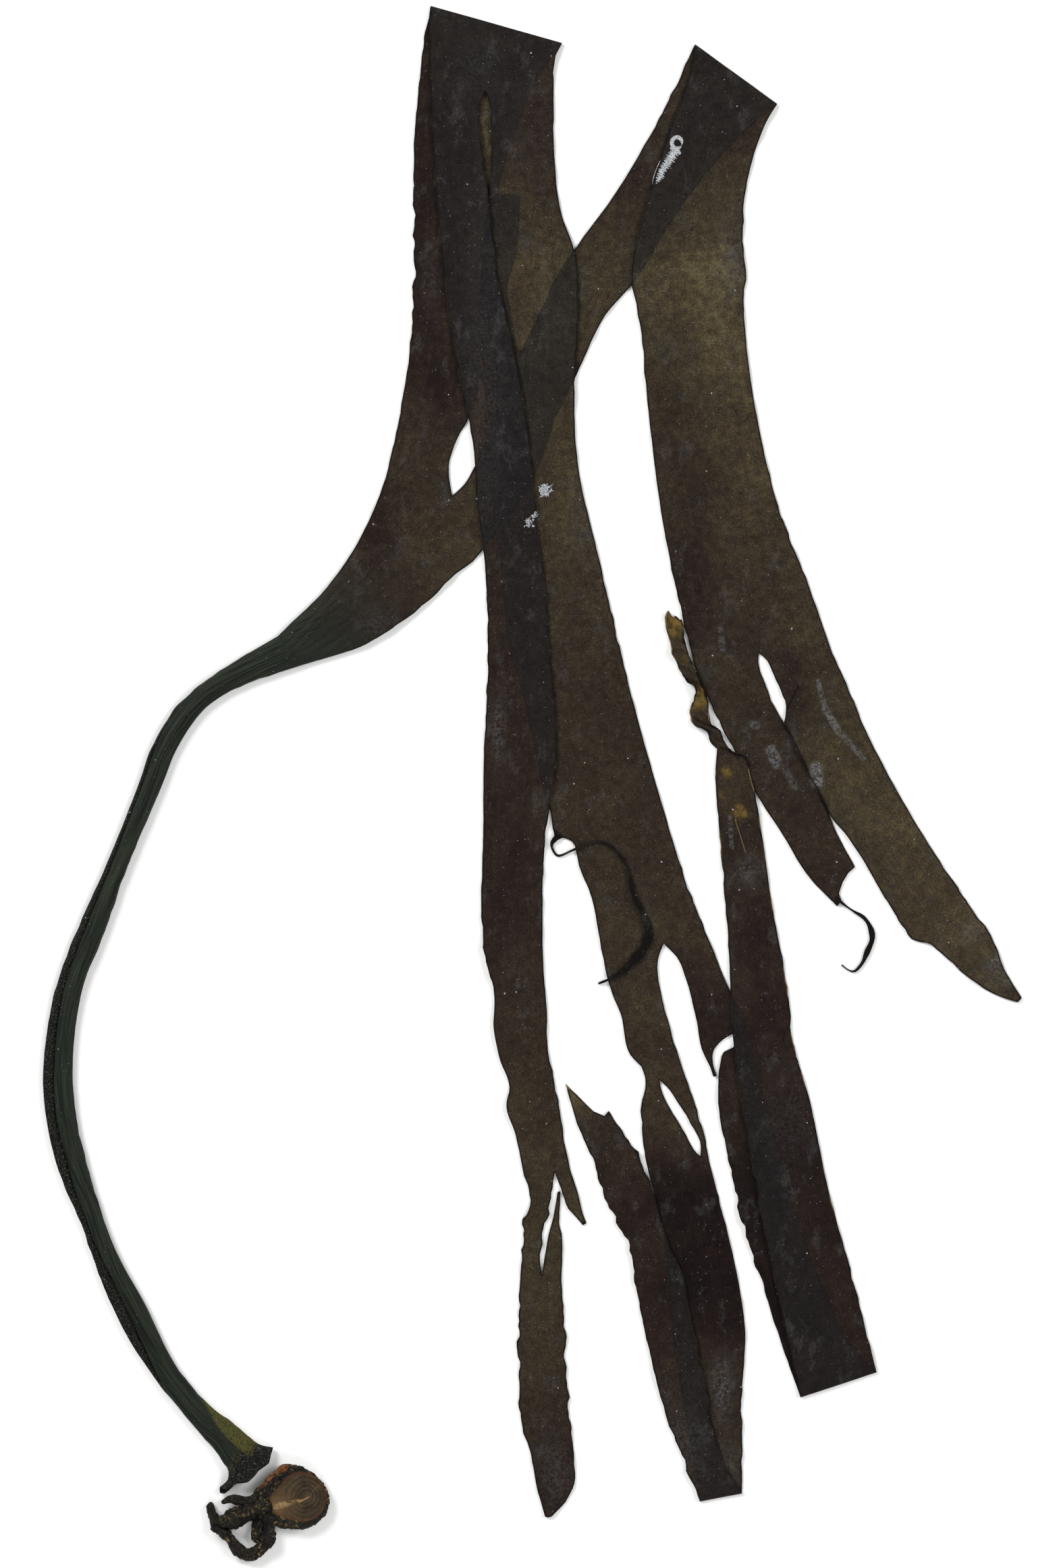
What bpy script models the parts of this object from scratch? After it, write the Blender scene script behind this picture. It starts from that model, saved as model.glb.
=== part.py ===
"""A pressed and dried kelp specimen that lies folded on a flat surface.

The thallus is one grown sheet: a stipe, a blade base and strap-shaped lobes. Its lobes are
folded over at the top and at the foot and lie on each other. Each lobe is a strip between two
smooth edge lines, and strips that grow out of one another share their points. The strips are
laid one layer after another, so that each rests on what is under it, and the whole sheet then
gets its thickness. A slice of the holdfast lies beside the cut foot of the stipe.
Edge lines are in millimetres, seen from above, from the middle of the specimen.
"""
import math

import bmesh
import bpy
import numpy as np

MM = 0.001

# Thicknesses and gaps, in millimetres
BLADE_THICKNESS = 0.7
LAYER_PITCH = 1.2
STIPE_THICKNESS = 3.4
STIPE_EDGE_THICKNESS = 1.0
ROW_LENGTH = 5.4
STIPE_ROW_LENGTH = 6.5
FILAMENT_ROW_LENGTH = 2.6
FOLD_STEPS = 4
SAMPLES_PER_KNOT = 24
WELD_DISTANCE = 0.00001

# How many rows a shaped, torn or rooted end takes to fade into its lobe
CUT_FADE_ROWS = 3
TEAR_FADE_ROWS = 2
ROOT_FADE_ROWS = 3

# How far an upper lobe stays lifted beside the edge of what lies under it, in millimetres
RASTER_CELL = 1.0
RASTER_HALF_WIDTH = 150
RASTER_HALF_HEIGHT = 220
RASTER_CUTS_PER_QUAD = 10
SPREAD = 9
SOFTEN = 3
FILAMENT_SPREAD = 3
FILAMENT_SOFTEN = 1
STRAP_RISE_LENGTH = 24.0
END_RISE_LENGTH = 13.0

# Columns of quads across each lobe
STRAP_COLUMNS = 3
SPLIT_COLUMNS = 2
CURL_COLUMNS = 3
MIDDLE_COLUMNS = SPLIT_COLUMNS + CURL_COLUMNS
LEFT_LOBE_COLUMNS = STRAP_COLUMNS + MIDDLE_COLUMNS
RIGHT_LOBE_COLUMNS = 4
STIPE_COLUMNS = LEFT_LOBE_COLUMNS + RIGHT_LOBE_COLUMNS

# Stipe: from the flared cut foot up to the blade
STIPE_OUTER = [(-79.9, -181.3), (-77.2, -179.3), (-77.0, -176.4), (-79.0, -173.2),
               (-86.0, -164.8), (-94.7, -154.1), (-101.9, -144.0), (-109.5, -128.6),
               (-115.0, -113.3), (-121.2, -98.4), (-124.5, -83.1), (-125.0, -75.7),
               (-124.5, -67.8), (-121.2, -50.5), (-117.8, -41.2), (-108.6, -20.3),
               (-100.5, 0.0), (-97.1, 9.3), (-93.6, 15.3), (-88.3, 22.2), (-81.4, 27.6),
               (-65.0, 37.6)]
STIPE_INNER = [(-66.2, -169.7), (-69.1, -169.2), (-74.8, -164.9), (-84.5, -157.1),
               (-91.0, -149.1), (-99.3, -132.8), (-106.4, -120.0), (-112.2, -103.4),
               (-116.9, -83.6), (-117.6, -75.0), (-117.1, -64.0), (-114.1, -49.1),
               (-110.7, -41.2), (-103.3, -20.3), (-98.1, -8.1), (-94.3, 0.7), (-91.9, 6.9),
               (-88.6, 12.9), (-84.1, 18.8), (-77.9, 23.3), (-69.1, 26.9), (-59.0, 30.2)]
CUT_BULGE = (0.0, 1.6, 2.6, 3.0, 2.6, 1.8, 0.0)

# Blade base, up to where it parts into a left and a right lobe
BASE_OUTER = [(-65.0, 37.6), (-62.6, 40.0), (-54.3, 48.0), (-45.5, 60.0), (-40.5, 70.0),
              (-37.5, 78.0)]
BASE_PARTING = [(-45.0, 50.0), (-32.0, 62.0), (-20.5, 73.4)]
BASE_INNER = [(-59.0, 30.2), (-50.7, 32.6), (-44.7, 34.5), (-39.5, 37.2), (-30.0, 43.8),
              (-24.1, 48.8), (-20.5, 52.9), (-16.2, 55.7), (-12.6, 59.7)]

# Left lobe, which runs up under the straps to the upper left fold
LEFT_LOBE_OUTER = [(-37.5, 78.0), (-34.7, 90.0), (-32.9, 100.0), (-31.4, 110.0),
                   (-30.6, 121.0), (-30.2, 134.1), (-30.4, 154.0), (-30.0, 167.8),
                   (-29.1, 177.1), (-28.1, 186.9), (-26.1, 197.6)]
LEFT_LOBE_INNER = [(-20.5, 73.4), (-21.4, 79.5), (-18.3, 89.8), (-16.6, 92.6),
                   (-12.8, 115.7), (-8.4, 153.6), (-3.6, 168.4), (0.3, 178.4), (7.2, 188.1)]

# Front of the upper left fold, down to the slit that parts the strap from the middle lobe
FRONT_OUTER = [(-26.1, 197.6), (-26.4, 193.6), (-26.2, 183.6), (-26.0, 177.8)]
SLIT_TOP = (-12.4, 176.4)
FRONT_INNER = [(7.2, 188.1), (5.9, 185.6), (5.5, 182.9), (5.4, 175.0)]

# Strap: the long narrow lobe that lies on top
STRAP_LEFT = [(-26.0, 177.8), (-25.9, 169.1), (-25.3, 161.2), (-24.7, 150.7), (-22.8, 132.2),
              (-20.5, 112.4), (-16.9, 95.7), (-15.3, 87.8), (-14.0, 70.5), (-12.6, 60.2),
              (-11.4, 34.7), (-11.7, 21.6), (-12.4, 7.9), (-12.6, -12.8), (-12.9, -36.6),
              (-12.2, -43.8), (-9.6, -56.0), (-10.0, -60.7), (-8.4, -70.3), (-5.9, -78.6),
              (-6.6, -81.2), (-4.1, -90.7), (-2.2, -100.3)]
STRAP_RIGHT = [SLIT_TOP, (-13.3, 173.8), (-13.3, 165.9), (-12.4, 157.9), (-11.2, 149.7),
               (-8.3, 126.2), (-6.6, 119.0), (-3.6, 105.2), (-1.0, 88.8), (0.9, 68.8),
               (3.3, 50.0), (4.3, 34.7), (6.2, 9.7), (5.9, 2.6), (4.7, -3.3), (3.4, -12.9),
               (2.6, -36.6), (2.8, -47.2), (3.6, -56.9), (4.0, -68.4), (6.2, -79.1),
               (8.4, -92.6), (9.7, -99.0)]
STRAP_TAB_LEFT = [(7.8, -105.3), (9.0, -108.6), (11.6, -111.4), (12.9, -113.0)]
STRAP_TAB_RIGHT = [(9.7, -99.0), (11.6, -104.7), (12.8, -109.8), (13.8, -112.4)]
STRAP_WAIST_LEFT = [(-2.2, -100.3), (-1.0, -103.4), (-0.9, -108.6), (-2.1, -111.9),
                    (-2.6, -119.3), (-3.1, -125.7)]
STRAP_WAIST_RIGHT = [(4.8, -104.7), (4.0, -109.8), (3.0, -114.3), (1.9, -120.7), (2.4, -125.7)]
SLIVER_LEFT = [(2.4, -125.7), (3.2, -120.5), (4.2, -115.0), (5.4, -110.5), (6.4, -104.4)]
SLIVER_RIGHT = [(7.4, -127.1), (7.6, -117.4), (6.9, -110.6), (7.2, -104.2)]
STRAP_FOOT_LEFT = [(-3.1, -125.7), (-3.6, -139.7), (-3.4, -153.4), (-2.7, -164.5),
                   (-0.5, -171.0), (0.7, -178.1), (1.7, -182.1), (3.2, -187.4)]
STRAP_FOOT_MIDDLE = [(2.4, -125.7), (3.8, -140.0), (4.6, -155.0), (6.0, -170.0),
                     (6.4, -180.0), (4.0, -187.6)]
STRAP_FOOT_RIGHT = [(7.4, -127.1), (8.1, -136.4), (8.8, -153.4), (9.5, -161.7),
                    (10.7, -173.4), (10.9, -177.6), (8.8, -183.1), (4.9, -187.4)]

# Middle lobe, from the slit down to where it forks
MIDDLE_LEFT = [SLIT_TOP, (-10.9, 173.8), (-10.2, 167.2), (-10.3, 157.9), (-11.2, 149.7),
               (-12.9, 129.0), (-12.6, 115.7), (-12.1, 94.7), (-11.4, 83.3), (-7.9, 54.5),
               (-5.7, 34.5), (-1.6, 19.8), (0.9, 7.9), (4.3, -6.9), (6.4, -13.4),
               (10.0, -14.8), (11.7, -20.5), (15.3, -30.0), (16.9, -38.4)]
MIDDLE_FORK = [(-2.0, 90.0), (11.5, 20.0), (33.5, -41.0)]
MIDDLE_RIGHT = [(5.4, 175.0), (5.6, 160.5), (7.6, 144.8), (10.5, 136.9), (11.7, 121.0),
                (10.9, 103.6), (10.7, 95.7), (11.7, 80.9), (16.6, 59.1), (20.3, 43.1),
                (25.2, 22.8), (33.4, -6.4), (39.7, -26.6), (46.7, -43.8)]

# Left tine of the fork, with a lens-shaped crack in it, down to the lower fold
TINE_LEFT_UPPER = [(16.9, -38.4), (19.7, -51.9), (22.6, -59.3), (25.2, -69.7), (27.8, -72.4)]
TINE_RIGHT_UPPER = [(33.5, -41.0), (32.1, -45.0), (33.1, -54.7), (35.2, -62.8), (38.4, -73.1)]
CRACK_TOP = (31.9, -73.6)
CRACK_FOOT = (42.9, -95.3)
CRACK_LEFT = [CRACK_TOP, (32.6, -76.7), (33.4, -81.0), (36.2, -86.7), (39.7, -91.9), CRACK_FOOT]
CRACK_RIGHT = [CRACK_TOP, (34.6, -79.1), (37.6, -83.3), (41.6, -91.4), CRACK_FOOT]
TINE_LEFT_CRACKED = [(27.8, -72.4), (28.8, -75.3), (27.8, -82.8), (28.4, -92.9), (29.7, -99.8)]
TINE_RIGHT_CRACKED = [(38.4, -73.1), (42.2, -84.1), (44.4, -92.4), (45.2, -96.9)]
TINE_LEFT_LOWER = [(29.7, -99.8), (32.9, -111.9), (36.4, -144.7), (39.8, -165.3),
                   (42.6, -183.1)]
TINE_MIDDLE_LOWER = [CRACK_FOOT, (44.4, -108.0), (46.0, -125.0), (47.0, -145.0),
                     (47.2, -165.0)]
TINE_RIGHT_LOWER = [(45.2, -96.9), (48.3, -108.8), (52.1, -124.7), (54.3, -139.5),
                    (53.4, -158.3), (53.6, -169.5), (53.5, -181.0)]

# The same tine folded up again on its front, with a torn end
FLAP_LEFT = [(42.6, -183.1), (37.8, -170.9), (34.6, -163.0), (30.3, -147.1), (26.9, -131.4),
             (24.0, -116.4), (19.1, -107.6), (16.0, -97.8), (10.9, -85.5), (8.4, -76.7)]
FLAP_RIGHT = [(53.5, -181.0), (49.8, -175.4), (46.7, -167.2), (44.5, -154.5), (40.0, -134.3),
              (38.3, -125.3), (34.8, -117.8), (30.8, -104.3), (27.6, -96.2), (23.3, -89.5),
              (19.7, -84.0)]
FLAP_TEAR = (0.0, -3.6, 0.0)

# Right tine of the fork, with a crescent tear from its left edge
CURL_LEFT_UPPER = [(33.5, -41.0), (36.9, -44.5), (39.1, -49.7), (42.0, -61.0)]
CURL_TEAR_TOP = (51.9, -63.6)
CURL_RIGHT_UPPER = [(46.7, -43.8), (48.3, -48.1), (52.8, -58.4), (55.4, -65.0)]
CURL_LEFT_TIP = [(42.0, -61.0), (43.4, -68.4), (45.3, -72.4), (46.2, -75.0)]
CURL_TEAR_UPPER = [CURL_TEAR_TOP, (48.6, -65.6), (46.2, -68.6), (46.2, -72.0), (47.1, -74.8)]
CURL_LEFT_LOWER = [CURL_TEAR_TOP, (51.4, -67.4), (48.8, -68.7), (47.9, -72.2), (47.9, -85.7),
                   (49.8, -94.7), (55.0, -117.1), (57.9, -125.3), (62.1, -138.8),
                   (68.3, -156.5)]
CURL_RIGHT_LOWER = [(55.4, -65.0), (57.9, -75.7), (64.8, -101.6), (73.4, -127.4),
                    (82.1, -144.2), (87.8, -150.1)]

# The same tine folded up again, and its withered, twisted end
RETURN_LEFT = [(68.3, -156.5), (64.8, -140.7), (60.9, -123.1), (57.2, -103.6), (53.3, -82.6),
               (50.9, -61.2), (50.2, -43.6), (48.6, -22.9), (47.2, -5.9), (46.7, 2.8),
               (47.2, 8.8)]
RETURN_RIGHT = [(87.8, -150.1), (86.4, -144.7), (81.4, -125.0), (75.7, -104.3), (70.5, -79.8),
                (66.4, -65.3), (65.5, -55.5), (60.9, -29.1), (59.0, -15.5), (57.2, -4.7),
                (54.5, 6.9)]
WITHERED_LEFT = [(47.2, 8.8), (43.4, 13.6), (40.2, 18.4), (38.3, 28.4), (36.4, 32.9),
                 (34.7, 38.1), (34.1, 41.6), (35.4, 44.1)]
WITHERED_RIGHT = [(54.5, 6.9), (49.6, 12.4), (45.4, 15.6), (44.8, 21.0), (42.6, 26.7),
                  (40.9, 32.4), (39.2, 39.0), (37.4, 44.1)]

# Right lobe, under the straps, up to the upper right fold
RIGHT_LOBE_LEFT = [(-20.5, 73.4), (-17.4, 76.4), (-14.7, 81.0), (-8.6, 96.0), (-2.8, 110.6),
                   (0.5, 116.9), (5.7, 128.4), (12.2, 138.4), (20.7, 150.0), (28.1, 162.1),
                   (35.2, 175.3), (40.9, 187.8)]
RIGHT_LOBE_RIGHT = [(-12.6, 59.7), (0.5, 78.6), (6.2, 94.1), (11.0, 103.8), (19.7, 121.0),
                    (25.3, 127.2), (34.5, 142.1), (46.0, 157.9), (55.0, 167.3), (61.9, 172.7)]
HIDDEN_TONGUE_ROOT = (-7.0, 99.5)
HIDDEN_TONGUE_LEFT = [(-10.2, 113.0), (-9.6, 126.0), (-8.0, 138.0), (-7.0, 150.3)]
HIDDEN_TONGUE_RIGHT = [(-5.6, 120.0), (-5.6, 127.0), (-4.2, 135.0), (-3.2, 150.5)]
TONGUE_ROOT_ROWS = 2

# Front of the upper right fold, down to its fork
OUTER_LEFT = [(40.9, 187.8), (40.7, 183.3), (38.6, 176.4), (34.5, 165.3), (30.2, 151.6),
              (26.0, 135.7), (25.3, 128.4), (27.1, 119.5), (29.5, 95.9), (33.3, 66.6),
              (35.9, 53.1), (40.2, 34.7)]
OUTER_FORK = [(43.5, 130.0), (46.0, 85.0), (58.1, 34.7)]
OUTER_RIGHT = [(61.9, 172.7), (60.3, 170.0), (56.9, 161.6), (54.5, 151.6), (53.8, 138.4),
               (54.5, 130.0), (54.0, 123.6), (54.7, 111.9), (57.9, 90.7), (63.3, 69.1),
               (70.3, 51.2), (76.0, 34.7)]

# The two ends of the outer lobe
SHORT_END_LEFT = [(40.2, 34.7), (41.4, 29.7), (44.8, 21.6), (50.0, 11.2), (56.6, -1.9),
                  (63.3, -12.2), (71.2, -24.7), (77.8, -31.4)]
SHORT_END_RIGHT = [(58.1, 34.7), (58.1, 29.0), (60.3, 22.8), (66.0, 10.7), (74.7, -5.3),
                   (76.7, -10.5), (82.4, -21.4)]
SHORT_END_CUT = (0.0, -1.5, 0.0)
LONG_END_LEFT = [(58.1, 34.7), (61.6, 28.4), (65.0, 19.8), (64.6, 15.4), (72.0, 0.2),
                 (76.4, -8.6), (79.8, -12.8), (83.6, -18.3), (89.0, -27.6), (94.8, -36.9),
                 (96.9, -39.8), (100.5, -40.9), (112.4, -50.5), (119.3, -54.5), (124.0, -56.0)]
LONG_END_RIGHT = [(76.0, 34.7), (80.9, 23.8), (84.3, 15.3), (90.0, 3.8), (100.0, -13.6),
                  (111.0, -30.3), (118.1, -40.9), (120.5, -47.4), (125.0, -54.9)]

# Threads that dried off the edges, along their middle, and where the first grows out
CURLED_THREAD_ROOT = (6.0, -11.0)
CURLED_THREAD = [(4.9, -15.6), (6.2, -18.4), (10.3, -17.1), (14.5, -15.2), (17.9, -15.0),
                 (21.6, -17.6), (24.5, -22.4), (25.7, -28.3), (28.1, -33.6), (29.7, -37.8),
                 (28.6, -41.9), (25.2, -46.0), (21.6, -49.1), (16.9, -51.2)]
LOOSE_THREAD = [(80.4, -31.6), (82.2, -32.8), (84.6, -34.3), (86.3, -36.9), (86.8, -39.5),
                (85.5, -43.1), (83.8, -46.6), (82.1, -48.1), (80.2, -47.4), (79.0, -46.4)]
CURLED_THREAD_WIDTH = 1.3
LOOSE_THREAD_WIDTH = 1.0

# Places where an edge dried clear of the surface: middle x, middle y, reach and height
LIFTED_EDGES = {
    "base": [(-36.0, 39.0, 9.0, 1.0)],
    "strap": [(-13.0, -46.0, 7.0, 1.2), (-10.0, -64.0, 6.0, 0.8)],
    "flap": [(24.0, -122.0, 9.0, 0.8)],
    "curl": [(54.0, -112.0, 8.0, 0.8)],
}

# Holdfast slice: a disc of the old stipe and rooting branches, in millimetres
DISC_THICKNESS = 3.0
DISC_EDGE_ROUNDING = 0.35
DISC_EDGE_RESOLUTION = 1
DISC_OUTLINE = [(-63.2, -173.9), (-60.3, -174.2), (-57.0, -175.6), (-54.2, -178.0),
                (-52.4, -180.8), (-51.9, -183.6), (-52.8, -186.6), (-55.0, -188.9),
                (-57.5, -190.2), (-60.3, -190.5), (-64.0, -189.0), (-67.5, -187.6),
                (-70.4, -186.4), (-71.0, -184.0), (-70.2, -181.4), (-67.6, -178.4),
                (-65.0, -175.4)]
# Each branch: its middle line and its radius at both ends
BRANCHES = [
    ([(-66.0, -184.0), (-72.0, -185.2), (-76.5, -187.1), (-80.2, -188.9)], 2.3, 1.7),
    ([(-71.5, -184.0), (-74.5, -184.1), (-77.5, -184.5), (-79.3, -184.3)], 1.1, 0.8),
    ([(-79.4, -189.4), (-81.4, -187.4), (-82.4, -185.0), (-82.0, -183.4)], 1.1, 0.9),
    ([(-65.4, -187.4), (-66.6, -190.4), (-68.0, -193.6), (-70.6, -196.2), (-73.4, -197.2),
      (-76.2, -194.8), (-78.6, -191.6), (-80.6, -190.0), (-82.0, -189.9)], 1.9, 0.8),
    ([(-69.4, -187.0), (-70.3, -189.6), (-70.6, -192.0), (-69.8, -194.0)], 1.2, 0.8),
]
BRANCH_CLEARANCE = 0.15
BRANCH_POINT_SPACING = 1.6
BRANCH_RESOLUTION = 2

# Finishes: linear colour and roughness
BLADE_COLOR = (0.035, 0.022, 0.018, 1.0)
BLADE_ROUGHNESS = 0.6
HOLDFAST_COLOR = (0.09, 0.055, 0.03, 1.0)
HOLDFAST_ROUGHNESS = 0.75


def smooth_line(points, count):
    """A smooth line through the points, cut into count equal lengths."""
    knots = np.array(points, float)
    chord = np.linalg.norm(np.diff(knots, axis=0), axis=1)
    place = np.concatenate(([0.0], np.cumsum(chord)))
    slope = np.diff(knots, axis=0) / chord[:, None]
    weighted = slope[:-1] * chord[1:, None] + slope[1:] * chord[:-1, None]
    inner = weighted / (chord[:-1] + chord[1:])[:, None]
    tangent = np.vstack((slope[:1], inner, slope[-1:]))
    fine = np.linspace(0.0, place[-1], SAMPLES_PER_KNOT * len(knots))
    span = np.clip(np.searchsorted(place, fine, side="right") - 1, 0, len(chord) - 1)
    step = chord[span][:, None]
    t = ((fine - place[span]) / chord[span])[:, None]
    dense = (2 * t**3 - 3 * t**2 + 1) * knots[span] + (3 * t**2 - 2 * t**3) * knots[span + 1]
    dense += step * ((t**3 - 2 * t**2 + t) * tangent[span] + (t**3 - t**2) * tangent[span + 1])
    length = np.concatenate(([0.0], np.cumsum(np.linalg.norm(np.diff(dense, axis=0), axis=1))))
    even = np.linspace(0.0, length[-1], count + 1)
    return np.column_stack([np.interp(even, length, dense[:, axis]) for axis in (0, 1)])


def line_length(points):
    """The length of a line of straight runs through the points."""
    return float(np.linalg.norm(np.diff(np.array(points, float), axis=0), axis=1).sum())


def between(first, second, part, whole):
    """The point that lies part / whole of the way from first to second."""
    share = part / whole
    return tuple(a + (b - a) * share for a, b in zip(first, second))


def smoothstep(value):
    """Turns 0 to 1 into a curve that leaves and arrives level."""
    held = np.clip(value, 0.0, 1.0)
    return held * held * (3.0 - 2.0 * held)


def row_count(guides, row_length=ROW_LENGTH):
    """How many rows of quads a section with these edge lines gets."""
    mean_length = sum(line_length(guide) for guide in guides) / len(guides)
    return max(2, round(mean_length / row_length))


def section(guides, columns, row_length=ROW_LENGTH):
    """Grids of the strips between neighbouring edge lines: straight rows from line to line."""
    rows = row_count(guides, row_length)
    lines = [smooth_line(guide, rows) for guide in guides]
    grids = []
    for left, right, count in zip(lines[:-1], lines[1:], columns):
        across = np.linspace(0.0, 1.0, count + 1)[None, :, None]
        flat = left[:, None, :] * (1.0 - across) + right[:, None, :] * across
        grids.append(np.concatenate((flat, np.zeros(flat.shape[:2] + (1,))), axis=2))
    return grids


def shape_row(grid, profile, row, reach):
    """Moves an end row along the lobe by a profile, which fades out over reach rows."""
    step = 1 if row == 0 else -1
    away = grid[row] - grid[row + step]
    away /= np.linalg.norm(away, axis=1)[:, None]
    places = np.linspace(0.0, 1.0, len(profile))
    offset = np.interp(np.linspace(0.0, 1.0, grid.shape[1]), places, profile)[:, None] * away
    for index in range(reach):
        grid[row + step * index] += offset * (1.0 - index / reach)


def root_on(grid, edge, reach):
    """Lays the first row of a grid on the points of an edge, and fades that out over rows."""
    offset = edge - grid[0]
    offset[:, 2] = 0.0
    for index in range(reach):
        grid[index] += offset * (1.0 - index / reach) ** 2


def refine(grid, steps):
    """The same surface with each quad cut into steps by steps."""
    for axis in (0, 1):
        cuts = np.linspace(0.0, grid.shape[axis] - 1.0, (grid.shape[axis] - 1) * steps + 1)
        low = np.minimum(cuts.astype(int), grid.shape[axis] - 2)
        share = (cuts - low)[:, None, None] if axis == 0 else (cuts - low)[None, :, None]
        first = np.take(grid, low, axis=axis)
        second = np.take(grid, low + 1, axis=axis)
        grid = first * (1.0 - share) + second * share
    return grid


def spread_map(heights, spread, soften):
    """Widens every raised place by spread cells, then softens its rim by soften cells."""
    for reach, combine in ((spread, np.maximum), (soften, np.add)):
        for axis in (0, 1):
            total = heights.copy()
            for shift in range(1, reach + 1):
                total = combine(total, np.roll(heights, shift, axis))
                total = combine(total, np.roll(heights, -shift, axis))
            heights = total / (2 * reach + 1) if combine is np.add else total
    return heights


def read_map(heights, x, y):
    """The height map's value at points, mixed from the four cells round each."""
    column = x / RASTER_CELL + RASTER_HALF_WIDTH
    row = y / RASTER_CELL + RASTER_HALF_HEIGHT
    left, low = column.astype(int), row.astype(int)
    u, v = column - left, row - low
    near = heights[low, left] * (1 - u) + heights[low, left + 1] * u
    far = heights[low + 1, left] * (1 - u) + heights[low + 1, left + 1] * u
    return near * (1 - v) + far * v


def add_to_map(heights, grids):
    """Raises the height map by one layer over everything that the grids cover."""
    for grid in grids:
        fine = refine(grid, RASTER_CUTS_PER_QUAD).reshape(-1, 3)
        column = np.round(fine[:, 0] / RASTER_CELL).astype(int) + RASTER_HALF_WIDTH
        row = np.round(fine[:, 1] / RASTER_CELL).astype(int) + RASTER_HALF_HEIGHT
        np.maximum.at(heights, (row, column), fine[:, 2] - BLADE_THICKNESS / 2 + LAYER_PITCH)


def lay(grids, heights, spread=SPREAD, soften=SOFTEN):
    """Lets grids down onto what the height map holds."""
    soft = spread_map(heights, spread, soften)
    for grid in grids:
        grid[:, :, 2] = BLADE_THICKNESS / 2 + read_map(soft, grid[:, :, 0], grid[:, :, 1])


def rise_from(grid, start_height, rise_length):
    """Joins a laid grid to a first row at start_height by a soft slope of rise_length."""
    down = np.concatenate(([0.0], np.cumsum(np.linalg.norm(
        np.diff(grid.mean(axis=1)[:, :2], axis=0), axis=1))))
    share = smoothstep(down / rise_length)[:, None]
    grid[:, :, 2] = start_height + (grid[:, :, 2] - start_height) * share


def lift_edges(name, grids):
    """Raises the named lobe smoothly round each place where its edge stands clear."""
    for middle_x, middle_y, reach, height in LIFTED_EDGES[name]:
        for grid in grids:
            away = (grid[:, :, 0] - middle_x) ** 2 + (grid[:, :, 1] - middle_y) ** 2
            grid[:, :, 2] += height * np.exp(-away / reach**2)


def fold(lower_row, upper_row):
    """The half-round bend that joins a row to the same row one layer higher."""
    middle = (lower_row + upper_row) / 2
    radius = (upper_row[:, 2] - lower_row[:, 2])[:, None] / 2
    along = lower_row[-1] - lower_row[0]
    outward = np.array((along[1], -along[0], 0.0)) / math.hypot(along[0], along[1])
    angles = np.linspace(-math.pi / 2, math.pi / 2, FOLD_STEPS + 1)
    up = np.array((0.0, 0.0, 1.0))
    return np.array([middle + radius * (outward * math.cos(a) + up * math.sin(a))
                     for a in angles])


def outward_fold(lower_row, upper_row, inside):
    """A fold whose bend bulges away from the inside point."""
    bend = fold(lower_row, upper_row)
    from_inside = bend[FOLD_STEPS // 2].mean(axis=0) - lower_row.mean(axis=0)
    to_inside = np.array(inside) - lower_row.mean(axis=0)[:2]
    if np.dot(from_inside[:2], to_inside) > 0:
        bend = fold(lower_row[::-1], upper_row[::-1])[:, ::-1]
    return bend


def thread(path, width, root):
    """A narrow ribbon along a path, which grows out of the two points of root."""
    start = tuple(root.mean(axis=0)[:2])
    middle = smooth_line([start] + path, max(4, round(line_length(path) / FILAMENT_ROW_LENGTH)))
    along = np.gradient(middle, axis=0)
    along /= np.linalg.norm(along, axis=1)[:, None]
    side = np.column_stack((-along[:, 1], along[:, 0])) * width / 2
    grid = np.zeros((len(middle), 2, 3))
    grid[:, 0, :2] = middle + side
    grid[:, 1, :2] = middle - side
    if np.dot(side[0], (root[1] - root[0])[:2]) > 0:
        root = root[::-1]
    grid[0] = root
    return grid


def stipe_thickness(across):
    """The stipe's thickness from edge to edge: a flattened oval."""
    oval = np.sqrt(np.clip(1.0 - (2.0 * across - 1.0) ** 2, 0.0, 1.0))
    return STIPE_EDGE_THICKNESS + (STIPE_THICKNESS - STIPE_EDGE_THICKNESS) * oval


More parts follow.
